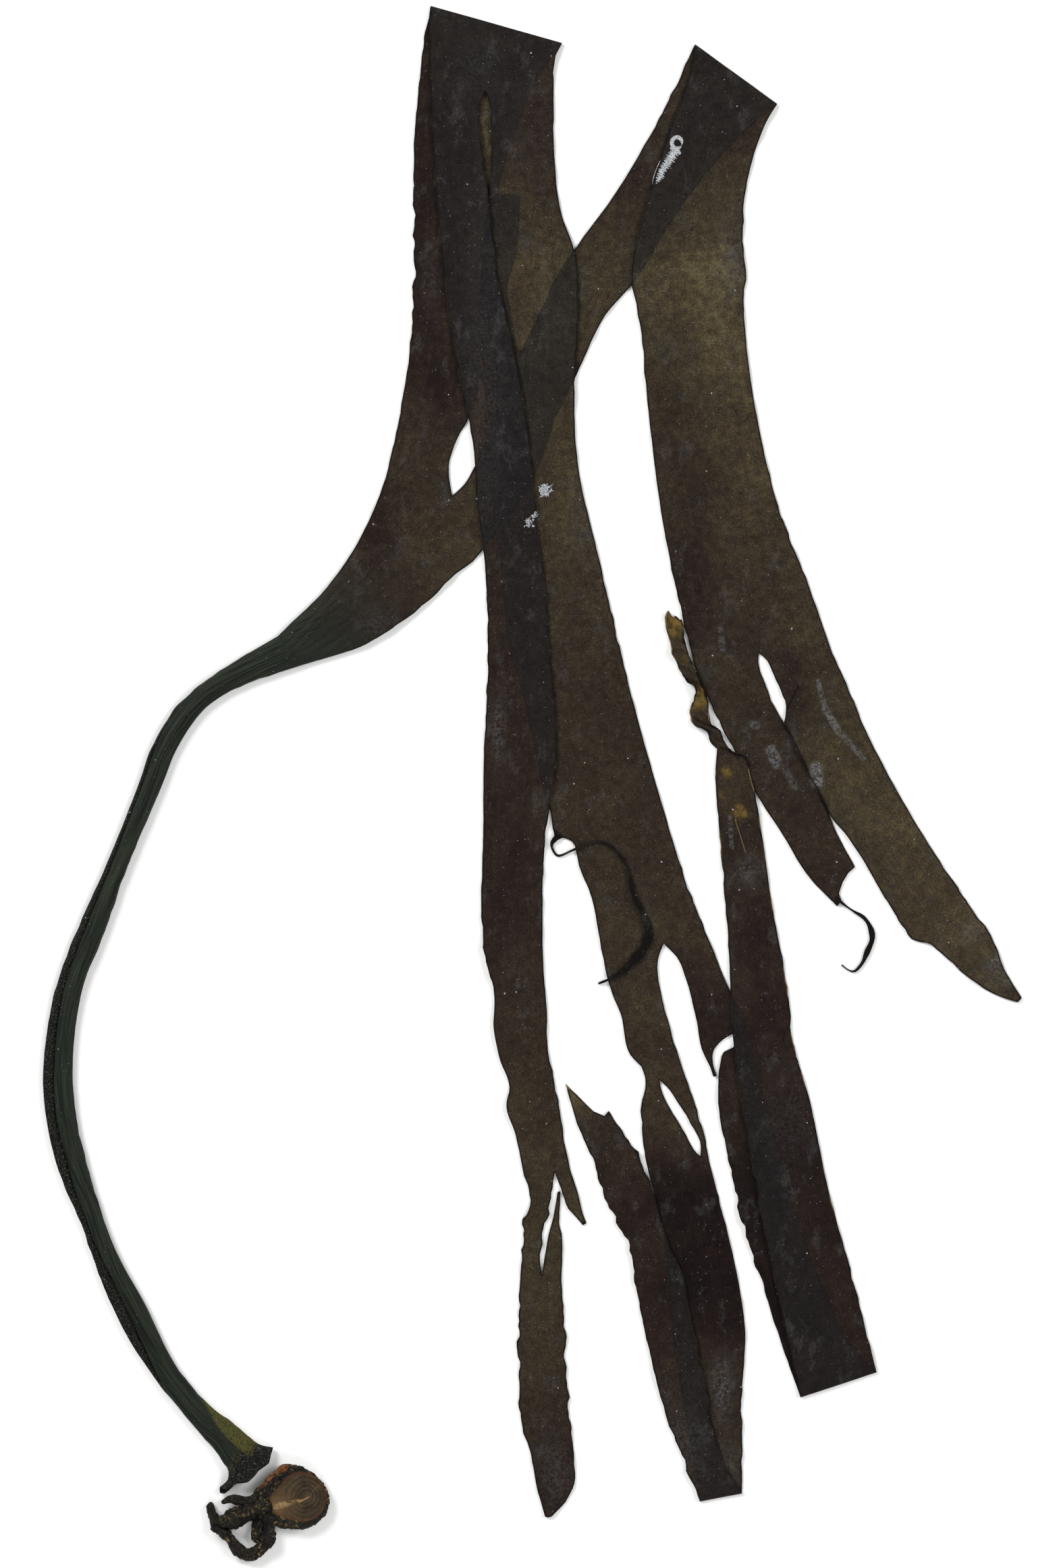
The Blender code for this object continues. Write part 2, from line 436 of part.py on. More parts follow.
def build_lobes():
    """All grids of the thallus, each with the thickness at its points."""
    pieces = []

    def keep(grids, thickness=BLADE_THICKNESS):
        for grid in grids:
            pieces.append((grid, np.broadcast_to(thickness, grid.shape[:2])))

    # Lowest layer: stipe, base, the two lobes behind and the short hidden tongue
    stipe = section([STIPE_OUTER, STIPE_INNER], [STIPE_COLUMNS], STIPE_ROW_LENGTH)
    shape_row(stipe[0], CUT_BULGE, 0, CUT_FADE_ROWS)
    stipe[0][:, :, 2] = STIPE_THICKNESS / 2
    parting_start = between(STIPE_OUTER[-1], STIPE_INNER[-1], LEFT_LOBE_COLUMNS, STIPE_COLUMNS)
    base = section([BASE_OUTER, [parting_start] + BASE_PARTING, BASE_INNER],
                   [LEFT_LOBE_COLUMNS, RIGHT_LOBE_COLUMNS])
    left_lobe = section([LEFT_LOBE_OUTER, LEFT_LOBE_INNER], [LEFT_LOBE_COLUMNS])
    right_lobe = section([RIGHT_LOBE_LEFT, RIGHT_LOBE_RIGHT], [RIGHT_LOBE_COLUMNS])
    lobe_edge = right_lobe[0][:, 0]
    from_root = np.linalg.norm(lobe_edge[:, :2] - HIDDEN_TONGUE_ROOT, axis=1)
    root_row = int(np.argmin(from_root))
    root = lobe_edge[root_row:root_row + TONGUE_ROOT_ROWS + 1]
    tongue = section([[tuple(root[0, :2])] + HIDDEN_TONGUE_LEFT,
                      [tuple(root[-1, :2])] + HIDDEN_TONGUE_RIGHT], [TONGUE_ROOT_ROWS])
    root_on(tongue[0], root, ROOT_FADE_ROWS)
    behind = left_lobe + right_lobe + tongue
    for grid in behind:
        grid[:, :, 2] = BLADE_THICKNESS / 2
    fade = 1.0 - smoothstep(np.linspace(0.0, 1.0, base[0].shape[0]))[:, None]
    base_places = (np.arange(LEFT_LOBE_COLUMNS + 1) / STIPE_COLUMNS,
                   np.arange(LEFT_LOBE_COLUMNS, STIPE_COLUMNS + 1) / STIPE_COLUMNS)
    for grid, places in zip(base, base_places):
        thickness = BLADE_THICKNESS + (stipe_thickness(places)[None, :] - BLADE_THICKNESS) * fade
        grid[:, :, 2] = BLADE_THICKNESS / 2 + (STIPE_THICKNESS - BLADE_THICKNESS) / 2 * fade
        keep([grid], thickness)
    lift_edges("base", base)
    keep(stipe, stipe_thickness(np.arange(STIPE_COLUMNS + 1) / STIPE_COLUMNS)[None, :])
    keep(behind)
    heights = np.zeros((2 * RASTER_HALF_HEIGHT, 2 * RASTER_HALF_WIDTH))
    add_to_map(heights, base + behind)

    # Next layer: the middle lobe with its two tines, and the outer lobe with its two ends
    slit_start = between(LEFT_LOBE_OUTER[-1], LEFT_LOBE_INNER[-1], STRAP_COLUMNS,
                         LEFT_LOBE_COLUMNS)
    front = section([FRONT_OUTER, [slit_start, SLIT_TOP], FRONT_INNER],
                    [STRAP_COLUMNS, MIDDLE_COLUMNS])
    fork_start = between(SLIT_TOP, MIDDLE_RIGHT[0], SPLIT_COLUMNS, MIDDLE_COLUMNS)
    middle = section([MIDDLE_LEFT, [fork_start] + MIDDLE_FORK, MIDDLE_RIGHT],
                     [SPLIT_COLUMNS, CURL_COLUMNS])
    crack_start = between(TINE_LEFT_UPPER[0], TINE_RIGHT_UPPER[0], 1, SPLIT_COLUMNS)
    crack_end = between(TINE_LEFT_LOWER[-1], TINE_RIGHT_LOWER[-1], 1, SPLIT_COLUMNS)
    tine = section([TINE_LEFT_UPPER, [crack_start, CRACK_TOP], TINE_RIGHT_UPPER], [1, 1])
    tine += section([TINE_LEFT_CRACKED, CRACK_LEFT], [1])
    tine += section([CRACK_RIGHT, TINE_RIGHT_CRACKED], [1])
    tine_lower = section([TINE_LEFT_LOWER, TINE_MIDDLE_LOWER + [crack_end], TINE_RIGHT_LOWER],
                         [1, 1])
    tear_start = between(CURL_LEFT_UPPER[0], CURL_RIGHT_UPPER[0], 1, CURL_COLUMNS)
    curl = section([CURL_LEFT_UPPER, [tear_start, CURL_TEAR_TOP], CURL_RIGHT_UPPER],
                   [1, CURL_COLUMNS - 1])
    curl += section([CURL_LEFT_TIP, CURL_TEAR_UPPER], [1], FILAMENT_ROW_LENGTH)
    curl_lower = section([CURL_LEFT_LOWER, CURL_RIGHT_LOWER], [CURL_COLUMNS - 1])
    outer_start = between(RIGHT_LOBE_LEFT[-1], RIGHT_LOBE_RIGHT[-1], 1, 2)
    half_columns = RIGHT_LOBE_COLUMNS // 2
    outer = section([OUTER_LEFT, [outer_start] + OUTER_FORK, OUTER_RIGHT],
                    [half_columns, half_columns])
    short_end = section([SHORT_END_LEFT, SHORT_END_RIGHT], [half_columns])
    shape_row(short_end[0], SHORT_END_CUT, -1, TEAR_FADE_ROWS)
    long_end = section([LONG_END_LEFT, LONG_END_RIGHT], [half_columns])
    second_layer = front + middle + tine + tine_lower + curl + curl_lower + outer + short_end
    lay(second_layer, heights)
    lift_edges("curl", curl_lower)
    keep(second_layer)
    upper_left = np.concatenate((front[0][0], front[1][0, 1:]))
    keep([outward_fold(left_lobe[0][-1], upper_left, SLIT_TOP)])
    upper_right = np.concatenate((outer[0][0], outer[1][0, 1:]))
    keep([outward_fold(right_lobe[0][-1], upper_right, OUTER_FORK[0])])
    add_to_map(heights, second_layer)

    # Top layer: the strap, the two folded-up tines, the withered end and the long end
    strap = section([STRAP_LEFT, STRAP_RIGHT], [STRAP_COLUMNS])
    notch = between(STRAP_LEFT[-1], STRAP_RIGHT[-1], SPLIT_COLUMNS, STRAP_COLUMNS)
    strap_foot = section([STRAP_WAIST_LEFT, [notch] + STRAP_WAIST_RIGHT], [SPLIT_COLUMNS])
    strap_foot += section([[notch] + STRAP_TAB_LEFT, STRAP_TAB_RIGHT], [1])
    strap_foot += section([SLIVER_LEFT, SLIVER_RIGHT], [1])
    strap_foot += section([STRAP_FOOT_LEFT, STRAP_FOOT_MIDDLE, STRAP_FOOT_RIGHT],
                          [SPLIT_COLUMNS, 1])
    flap = section([FLAP_LEFT, FLAP_RIGHT], [SPLIT_COLUMNS])
    shape_row(flap[0], FLAP_TEAR, -1, TEAR_FADE_ROWS)
    returned = section([RETURN_LEFT, RETURN_RIGHT], [CURL_COLUMNS - 1])
    withered = section([WITHERED_LEFT, WITHERED_RIGHT], [CURL_COLUMNS - 1], FILAMENT_ROW_LENGTH)
    top_layer = strap + strap_foot + flap + returned + withered + long_end
    lay(top_layer, heights)
    rise_from(strap[0], front[0][-1, 0, 2], STRAP_RISE_LENGTH)
    rise_from(long_end[0], outer[0][-1, 0, 2], END_RISE_LENGTH)
    lift_edges("strap", strap)
    lift_edges("flap", flap)
    keep(top_layer)
    tine_end = np.concatenate((tine_lower[0][-1], tine_lower[1][-1, 1:]))
    keep([outward_fold(tine_end, flap[0][0], TINE_LEFT_LOWER[0])])
    keep([outward_fold(curl_lower[0][-1], returned[0][0], CURL_LEFT_LOWER[0])])

    # Threads, laid over the second layer and rooted on an edge of it
    middle_edge = middle[0][:, 0]
    from_root = np.linalg.norm(middle_edge[:, :2] - CURLED_THREAD_ROOT, axis=1)
    root_row = int(np.argmin(from_root))
    threads = [
        thread(CURLED_THREAD, CURLED_THREAD_WIDTH, middle_edge[root_row:root_row + 2]),
        thread(LOOSE_THREAD, LOOSE_THREAD_WIDTH, short_end[0][-1, :2]),
    ]
    for grid in threads:
        root_heights = grid[0, :, 2].copy()
        lay([grid], heights, FILAMENT_SPREAD, FILAMENT_SOFTEN)
        grid[0, :, 2] = root_heights
    keep(threads)
    return pieces


def sheet_object(name, pieces):
    """Welds the grids into one sheet of triangles and gives it its thickness."""
    mesh = bmesh.new()
    weight_layer = mesh.verts.layers.deform.verify()
    for grid, thickness in pieces:
        rows, columns = grid.shape[:2]
        corners = [mesh.verts.new(point * MM) for point in grid.reshape(-1, 3)]
        for corner, value in zip(corners, thickness.reshape(-1)):
            corner[weight_layer][0] = float(value) / STIPE_THICKNESS
        for row in range(rows - 1):
            for column in range(columns - 1):
                first = row * columns + column
                mesh.faces.new((corners[first], corners[first + 1],
                                corners[first + columns + 1], corners[first + columns]))
    bmesh.ops.remove_doubles(mesh, verts=mesh.verts, dist=WELD_DISTANCE)
    bmesh.ops.recalc_face_normals(mesh, faces=mesh.faces)
    bmesh.ops.triangulate(mesh, faces=mesh.faces)
    data = bpy.data.meshes.new(name)
    mesh.to_mesh(data)
    mesh.free()
    sheet = bpy.data.objects.new(name, data)
    sheet.vertex_groups.new(name="thickness")
    solidify = sheet.modifiers.new("thickness", "SOLIDIFY")
    solidify.thickness = STIPE_THICKNESS * MM
    solidify.offset = 0.0
    solidify.vertex_group = "thickness"
    return sheet


def mesh_from_curve(curve_object):
    """A welded mesh object with the curve's surface, in place of the curve."""
    bpy.context.view_layer.update()
    evaluated = curve_object.evaluated_get(bpy.context.evaluated_depsgraph_get())
    data = bpy.data.meshes.new_from_object(evaluated)
    mesh = bmesh.new()
    mesh.from_mesh(data)
    bmesh.ops.remove_doubles(mesh, verts=mesh.verts, dist=WELD_DISTANCE)
    bmesh.ops.recalc_face_normals(mesh, faces=mesh.faces)
    mesh.to_mesh(data)
    mesh.free()
    made = bpy.data.objects.new(curve_object.name, data)
    made.matrix_world = curve_object.matrix_world
    bpy.data.objects.remove(curve_object)
    return made


def disc_object(name, collection):
    """The slice of the old stipe: a flat outline with its thickness and rounded rims."""
    outline = smooth_line(DISC_OUTLINE + DISC_OUTLINE[:1], 2 * len(DISC_OUTLINE))[:-1]
    curve = bpy.data.curves.new(name, "CURVE")
    curve.dimensions = "2D"
    curve.fill_mode = "BOTH"
    curve.extrude = (DISC_THICKNESS / 2 - DISC_EDGE_ROUNDING) * MM
    curve.bevel_depth = DISC_EDGE_ROUNDING * MM
    curve.bevel_resolution = DISC_EDGE_RESOLUTION
    spline = curve.splines.new("POLY")
    spline.points.add(len(outline) - 1)
    for point, (x, y) in zip(spline.points, outline):
        point.co = (x * MM, y * MM, 0.0, 1.0)
    spline.use_cyclic_u = True
    disc = bpy.data.objects.new(name, curve)
    disc.location.z = DISC_THICKNESS / 2 * MM
    collection.objects.link(disc)
    return mesh_from_curve(disc)


def branch_object(name, path, start_radius, end_radius, collection):
    """A tapering round branch that lies a little clear of the surface."""
    count = max(4, round(line_length(path) / BRANCH_POINT_SPACING))
    line = smooth_line(path, count)
    curve = bpy.data.curves.new(name, "CURVE")
    curve.dimensions = "3D"
    curve.bevel_depth = MM
    curve.bevel_resolution = BRANCH_RESOLUTION
    curve.use_fill_caps = True
    spline = curve.splines.new("POLY")
    spline.points.add(len(line) - 1)
    for index, (point, (x, y)) in enumerate(zip(spline.points, line)):
        radius = start_radius + (end_radius - start_radius) * index / count
        point.co = (x * MM, y * MM, (radius + BRANCH_CLEARANCE) * MM, 1.0)
        point.radius = radius
    branch = bpy.data.objects.new(name, curve)
    collection.objects.link(branch)
    return mesh_from_curve(branch)


def holdfast_object(name, scratch):
    """Joins the disc and its branches into one solid."""
    disc = disc_object(name, scratch)
    branches = [branch_object(f"branch_{index}", path, start, end, scratch)
                for index, (path, start, end) in enumerate(BRANCHES)]
    scratch.objects.link(disc)
    for branch in branches:
        scratch.objects.link(branch)
        union = disc.modifiers.new(branch.name, "BOOLEAN")
        union.operation = "UNION"
        union.solver = "EXACT"
        union.object = branch
    bpy.context.view_layer.update()
    evaluated = disc.evaluated_get(bpy.context.evaluated_depsgraph_get())
    joined = bpy.data.objects.new(name, bpy.data.meshes.new_from_object(evaluated))
    joined.matrix_world = disc.matrix_world
    for piece in [disc] + branches:
        bpy.data.objects.remove(piece)
    joined.name = name
    return joined


def give_material(piece, name, color, roughness):
    """A plain rough finish in the piece's own colour."""
    material = bpy.data.materials.new(name)
    material.use_nodes = True
    surface = material.node_tree.nodes["Principled BSDF"]
    surface.inputs["Base Color"].default_value = color
    surface.inputs["Roughness"].default_value = roughness
    piece.data.materials.clear()
    piece.data.materials.append(material)


def main():
    for old in list(bpy.data.objects):
        bpy.data.objects.remove(old)
    specimen = bpy.data.collections.new("kelp specimen")
    scratch = bpy.data.collections.new("joined shapes")
    for collection in (specimen, scratch):
        bpy.context.scene.collection.children.link(collection)
    thallus = sheet_object("thallus", build_lobes())
    holdfast = holdfast_object("holdfast", scratch)
    give_material(thallus, "dried blade", BLADE_COLOR, BLADE_ROUGHNESS)
    give_material(holdfast, "dried holdfast", HOLDFAST_COLOR, HOLDFAST_ROUGHNESS)
    for piece in (thallus, holdfast):
        specimen.objects.link(piece)
    bpy.data.collections.remove(scratch)


main()
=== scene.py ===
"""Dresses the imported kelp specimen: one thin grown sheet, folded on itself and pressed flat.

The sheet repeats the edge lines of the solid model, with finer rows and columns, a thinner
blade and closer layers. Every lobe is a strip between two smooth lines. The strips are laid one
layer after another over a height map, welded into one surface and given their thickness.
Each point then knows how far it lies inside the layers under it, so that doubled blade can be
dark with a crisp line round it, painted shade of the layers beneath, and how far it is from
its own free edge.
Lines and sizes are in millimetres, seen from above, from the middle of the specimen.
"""
import math

import bmesh
import bpy
import numpy as np
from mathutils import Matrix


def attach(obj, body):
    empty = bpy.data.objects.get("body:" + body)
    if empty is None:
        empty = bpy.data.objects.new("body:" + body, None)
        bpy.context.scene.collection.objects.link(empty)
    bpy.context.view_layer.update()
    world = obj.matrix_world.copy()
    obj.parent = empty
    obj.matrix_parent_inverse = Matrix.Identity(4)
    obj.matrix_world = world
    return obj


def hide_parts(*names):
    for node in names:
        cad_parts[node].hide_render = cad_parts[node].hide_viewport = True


MM = 0.001

# Camera: the photo's frame, seen straight from above through a long lens
PHOTO_HEIGHT_PIXELS = 2324
PHOTO_PIXELS_PER_MM = 5.8
VIEW_MIDDLE = (-0.5, -0.2)
LENS_MM = 300.0
SENSOR_MM = 36.0

# Light: soft from all round, and three large lamps for a little relief
SKY_STRENGTH = 0.33
LAMPS = [
    # Place in metres, size in metres, power in watts
    ((-1.0, 0.9, 1.1), 0.8, 26.0),
    ((1.2, 0.3, 1.1), 0.8, 14.0),
    ((0.0, -1.3, 0.9), 0.8, 8.0),
]
FLOOR_SIZE = 8.0
FLOOR_GAP = 0.0001
FLOOR_COLOR = (0.93, 0.93, 0.925, 1.0)
FLOOR_ROUGHNESS = 0.9
FLOOR_GLOSS = 0.1

# Sheet thicknesses and the heights of its layers
SHEET_THICKNESS = 0.36
LAYER_PITCH = 0.52
STIPE_THICKNESS = 3.3
STIPE_EDGE_THICKNESS = 0.7
ROW_LENGTH = 1.3
FINE_ROW_LENGTH = 0.7
FOLD_STEPS = 6
SAMPLES_PER_KNOT = 24
WELD_DISTANCE = 0.01
POLE_WELD_DISTANCE = 0.0001
SHEET_SHARP_ANGLE = 55.0
CLOSED_SHARP_ANGLE = 60.0

# Height map that the layers are let down on
MAP_CELL = 0.5
MAP_HALF_WIDTH = 280
MAP_HALF_HEIGHT = 430
MAP_CUTS_PER_QUAD = 4
NEARLY_NOTHING = 1e-12
EDGE_BATCH = 1000
SPREAD = 4
SOFTEN = 3
THREAD_SPREAD = 2
THREAD_SOFTEN = 1
STRAP_RISE_LENGTH = 16.0
END_RISE_LENGTH = 8.0

# Columns of quads across each lobe. All are multiples of the finest shares, so edges meet.
CUTS = 4
STRAP_COLUMNS = 3 * CUTS
SPLIT_COLUMNS = 2 * CUTS
CURL_COLUMNS = 3 * CUTS
MIDDLE_COLUMNS = SPLIT_COLUMNS + CURL_COLUMNS
LEFT_LOBE_COLUMNS = STRAP_COLUMNS + MIDDLE_COLUMNS
RIGHT_LOBE_COLUMNS = 4 * CUTS
STIPE_COLUMNS = LEFT_LOBE_COLUMNS + RIGHT_LOBE_COLUMNS
TONGUE_COLUMNS = 8
THREAD_COLUMNS = 2

# How many rows a cut, torn or rooted end takes to fade into its lobe
CUT_FADE_ROWS = 10
TEAR_FADE_ROWS = 8
ROOT_FADE_ROWS = 8

# Small waves of the free edges, buckles of the sheet and its lifted rims, in millimetres
EDGE_WAVE = 0.07
ROUGH_EDGE_WAVE = 0.17
STIPE_EDGE_WAVE = 0.05
EDGE_WAVE_CHANGE = 23.0
EDGE_WAVE_CALM = 0.3
EDGE_WAVE_BURST = 1.4
EDGE_WAVE_LENGTHS = ((13.1, 0.8), (7.3, 1.0), (3.9, 0.6), (2.1, 0.3))
BUCKLE_HEIGHT = 0.10
BUCKLE_LENGTH = 17.0
RUFFLE_HEIGHT = 0.3
RUFFLE_REACH = 1.8
RUFFLE_LENGTH = 8.0
RUFFLE_OFTEN = 0.35
RUFFLE_SLANT = 0.3
COVER_MARGIN = 1.0
CLEAR_OF_COVER = 3.0
FAR_INSIDE = 20.0

# Layers, from the lowest up, and the faces that bend from one to the next
BOTTOM, SECOND, TOP, BEND, THREADS = range(5)

# Stipe: from the flared cut foot up to the blade
STIPE_OUTER = [(-79.9, -181.3), (-77.2, -179.3), (-77.0, -176.4), (-79.0, -173.2),
               (-86.0, -164.8), (-94.7, -154.1), (-101.9, -144.0), (-109.5, -128.6),
               (-115.0, -113.3), (-121.2, -98.4), (-124.5, -83.1), (-125.0, -75.7),
               (-124.5, -67.8), (-121.2, -50.5), (-117.8, -41.2), (-108.6, -20.3),
               (-100.5, 0.0), (-97.1, 9.3), (-93.6, 15.3), (-88.3, 22.2), (-81.4, 27.6),
               (-65.0, 37.6)]
STIPE_INNER = [(-66.2, -169.7), (-69.1, -169.2), (-74.8, -164.9), (-84.5, -157.1),
               (-91.0, -149.1), (-99.3, -132.8), (-106.4, -120.0), (-112.2, -103.4),
               (-116.9, -83.6), (-117.6, -75.0), (-117.1, -64.0), (-114.1, -49.1),
               (-110.7, -41.2), (-103.3, -20.3), (-98.1, -8.1), (-94.3, 0.7), (-91.9, 6.9),
               (-88.6, 12.9), (-84.1, 18.8), (-77.9, 23.3), (-69.1, 26.9), (-59.0, 30.2)]
CUT_BULGE = (0.0, 1.4, 2.7, 2.2, 3.0, 2.1, 2.6, 1.2, 0.0)

# The stipe has a thin flange on its left and a rounder body on its right, with a furrow
# between them: height along the specimen and the furrow's place from edge to edge
FURROW = [(-153.0, 0.02), (-145.0, 0.30), (-138.0, 0.43), (-126.0, 0.47), (-116.0, 0.34),
          (-106.0, 0.30), (-96.0, 0.42), (-86.0, 0.36), (-72.0, 0.42), (-47.0, 0.35),
          (-22.0, 0.30), (-9.0, 0.25), (5.0, 0.20), (20.0, 0.02)]
FLANGE_THICKNESS = 1.3
RIDGE_HEIGHT = 0.10
RIDGE_TURNS = 41.0
RIDGE_DRIFT = 23.0
# Height along the specimen below which the ridges fade out, and over what length
RIDGE_FOOT = -148.0
RIDGE_FADE = 14.0
SEAM_SHARE = 0.04
# The black gritty toe: its top, how far that slants from edge to edge, and its soft border
TOE_TOP = -169.0
TOE_SLANT = 6.0
TOE_FADE = 3.0
CREASE_SHARE = 0.30
CREASE_DEPTH = 0.5
CREASE_WIDTH = 0.05

# Blade base, up to where it parts into a left and a right lobe
BASE_OUTER = [(-65.0, 37.6), (-62.6, 40.0), (-54.3, 48.0), (-45.5, 60.0), (-40.5, 70.0),
              (-37.5, 78.0)]
BASE_PARTING = [(-45.0, 50.0), (-32.0, 62.0), (-20.5, 73.4)]
BASE_INNER = [(-59.0, 30.2), (-50.7, 32.6), (-44.7, 34.5), (-39.5, 37.2), (-30.0, 43.8),
              (-24.1, 48.8), (-20.5, 52.9), (-16.2, 55.7), (-12.6, 59.7)]

# Left lobe, which runs up under the straps to the upper left fold
LEFT_LOBE_OUTER = [(-37.5, 78.0), (-34.7, 90.0), (-32.9, 100.0), (-31.4, 110.0),
                   (-30.6, 121.0), (-30.2, 134.1), (-30.4, 154.0), (-30.0, 167.8),
                   (-29.1, 177.1), (-28.1, 186.9), (-26.1, 198.2)]
LEFT_LOBE_INNER = [(-20.5, 73.4), (-21.4, 79.5), (-18.3, 89.8), (-16.6, 92.6),
                   (-12.8, 115.7), (-8.4, 153.6), (-3.6, 168.4), (0.3, 178.4), (7.4, 188.7)]

# Front of the upper left fold, down to the slit that parts the strap from the middle lobe
FRONT_OUTER = [(-26.1, 198.2), (-26.4, 193.6), (-26.2, 183.6), (-26.0, 177.8)]
SLIT_TOP = (-12.0, 176.8)
FRONT_INNER = [(7.4, 188.7), (5.9, 185.6), (5.5, 182.9), (5.4, 175.0)]

# Strap: the long narrow lobe that lies on top
STRAP_LEFT = [(-26.0, 177.8), (-25.9, 169.1), (-25.3, 161.2), (-24.7, 150.7), (-22.8, 132.2),
              (-20.5, 112.4), (-16.9, 95.7), (-15.3, 87.8), (-14.0, 70.5), (-12.6, 60.2),
              (-11.4, 34.7), (-11.7, 21.6), (-12.4, 7.9), (-12.6, -12.8), (-12.9, -36.6),
              (-12.2, -43.8), (-9.6, -56.0), (-10.0, -60.7), (-8.4, -70.3), (-5.9, -78.6),
              (-6.6, -81.2), (-4.1, -90.7), (-2.2, -100.3)]
STRAP_RIGHT = [SLIT_TOP, (-13.3, 173.8), (-13.3, 165.9), (-12.4, 157.9), (-11.2, 149.7),
               (-8.3, 126.2), (-6.6, 119.0), (-3.6, 105.2), (-1.0, 88.8), (0.9, 68.8),
               (3.3, 50.0), (4.3, 34.7), (6.2, 9.7), (5.9, 2.6), (4.7, -3.3), (3.4, -12.9),
               (2.6, -36.6), (2.8, -47.2), (3.6, -56.9), (4.0, -68.4), (6.2, -79.1),
               (8.4, -92.6), (9.7, -99.0)]
STRAP_TAB_LEFT = [(7.8, -105.3), (9.0, -108.6), (11.6, -111.4), (12.9, -113.0)]
STRAP_TAB_RIGHT = [(9.7, -99.0), (11.6, -104.7), (12.8, -109.8), (13.8, -112.4)]
STRAP_WAIST_LEFT = [(-2.2, -100.3), (-1.0, -103.4), (-0.9, -108.6), (-2.1, -111.9),
                    (-2.6, -119.3), (-3.1, -125.7)]
STRAP_WAIST_RIGHT = [(4.8, -104.7), (4.0, -109.8), (3.0, -114.3), (1.9, -120.7), (2.4, -125.7)]
SLIVER_LEFT = [(2.4, -125.7), (3.2, -120.5), (4.2, -115.0), (5.4, -110.5), (6.4, -104.4)]
SLIVER_RIGHT = [(7.4, -127.1), (7.6, -117.4), (6.9, -110.6), (7.2, -104.2)]
STRAP_FOOT_LEFT = [(-3.1, -125.7), (-3.6, -139.7), (-3.4, -153.4), (-2.7, -164.5),
                   (-0.5, -171.0), (0.7, -178.1), (1.7, -182.1), (3.2, -187.4)]
STRAP_FOOT_MIDDLE = [(2.4, -125.7), (3.8, -140.0), (4.6, -155.0), (6.0, -170.0),
                     (6.4, -180.0), (4.0, -187.6)]
STRAP_FOOT_RIGHT = [(7.4, -127.1), (8.1, -136.4), (8.8, -153.4), (9.5, -161.7),
                    (10.7, -173.4), (10.9, -177.6), (8.8, -183.1), (4.9, -187.4)]

# Middle lobe, from the slit down to where it forks
MIDDLE_LEFT = [SLIT_TOP, (-11.0, 173.8), (-10.6, 167.2), (-10.5, 157.9), (-11.2, 149.7),
               (-12.9, 129.0), (-12.6, 115.7), (-12.1, 94.7), (-11.4, 83.3), (-7.9, 54.5),
               (-5.7, 34.5), (-1.6, 19.8), (0.9, 7.9), (4.3, -6.9), (6.4, -13.4),
               (10.0, -14.8), (11.7, -20.5), (15.3, -30.0), (16.9, -38.4)]
MIDDLE_FORK = [(-2.0, 90.0), (11.5, 20.0), (33.5, -41.0)]
MIDDLE_RIGHT = [(5.4, 175.0), (5.6, 160.5), (7.6, 144.8), (10.5, 136.9), (11.7, 121.0),
                (10.9, 103.6), (10.7, 95.7), (11.7, 80.9), (16.6, 59.1), (20.3, 43.1),
                (25.2, 22.8), (33.4, -6.4), (39.7, -26.6), (46.7, -43.8)]

# Left tine of the fork, with a lens-shaped crack in it, down to the lower fold
TINE_LEFT_UPPER = [(16.9, -38.4), (19.7, -51.9), (22.6, -59.3), (25.2, -69.7), (27.8, -72.4)]
TINE_RIGHT_UPPER = [(33.5, -41.0), (32.1, -45.0), (33.1, -54.7), (35.2, -62.8), (38.4, -73.1)]
CRACK_TOP = (32.4, -75.8)
CRACK_FOOT = (42.9, -95.3)
CRACK_LEFT = [CRACK_TOP, (33.0, -78.6), (35.6, -83.8), (38.7, -89.0), (41.8, -94.3), CRACK_FOOT]
CRACK_RIGHT = [CRACK_TOP, (34.4, -77.7), (37.3, -81.8), (40.4, -87.0), (43.0, -92.7), CRACK_FOOT]
TINE_LEFT_CRACKED = [(27.8, -72.4), (28.8, -75.3), (27.8, -82.8), (28.4, -92.9), (29.7, -99.8)]
TINE_RIGHT_CRACKED = [(38.4, -73.1), (42.2, -84.1), (44.4, -92.4), (45.2, -96.9)]
TINE_LEFT_LOWER = [(29.7, -99.8), (32.9, -111.9), (36.4, -144.7), (39.8, -165.3),
                   (42.6, -183.1)]
TINE_MIDDLE_LOWER = [CRACK_FOOT, (44.4, -108.0), (46.0, -125.0), (47.0, -145.0),
                     (47.2, -165.0)]
TINE_RIGHT_LOWER = [(45.2, -96.9), (48.3, -108.8), (52.1, -124.7), (54.3, -139.5),
                    (53.4, -158.3), (53.6, -169.5), (53.5, -181.0)]

# The same tine folded up again on its front, with a torn end
FLAP_LEFT = [(42.6, -183.1), (37.8, -170.9), (34.6, -163.0), (30.3, -147.1), (26.9, -131.4),
             (24.0, -116.4), (19.1, -107.6), (16.0, -97.8), (10.9, -85.5), (8.4, -76.7)]
FLAP_RIGHT = [(53.5, -181.0), (49.8, -175.4), (46.7, -167.2), (44.5, -154.5), (40.0, -134.3),
              (38.3, -125.3), (34.8, -117.8), (30.8, -104.3), (27.6, -96.2), (23.3, -89.5),
              (19.7, -84.0)]
FLAP_TEAR = (0.0, -1.6, -3.8, -3.2, 0.4)

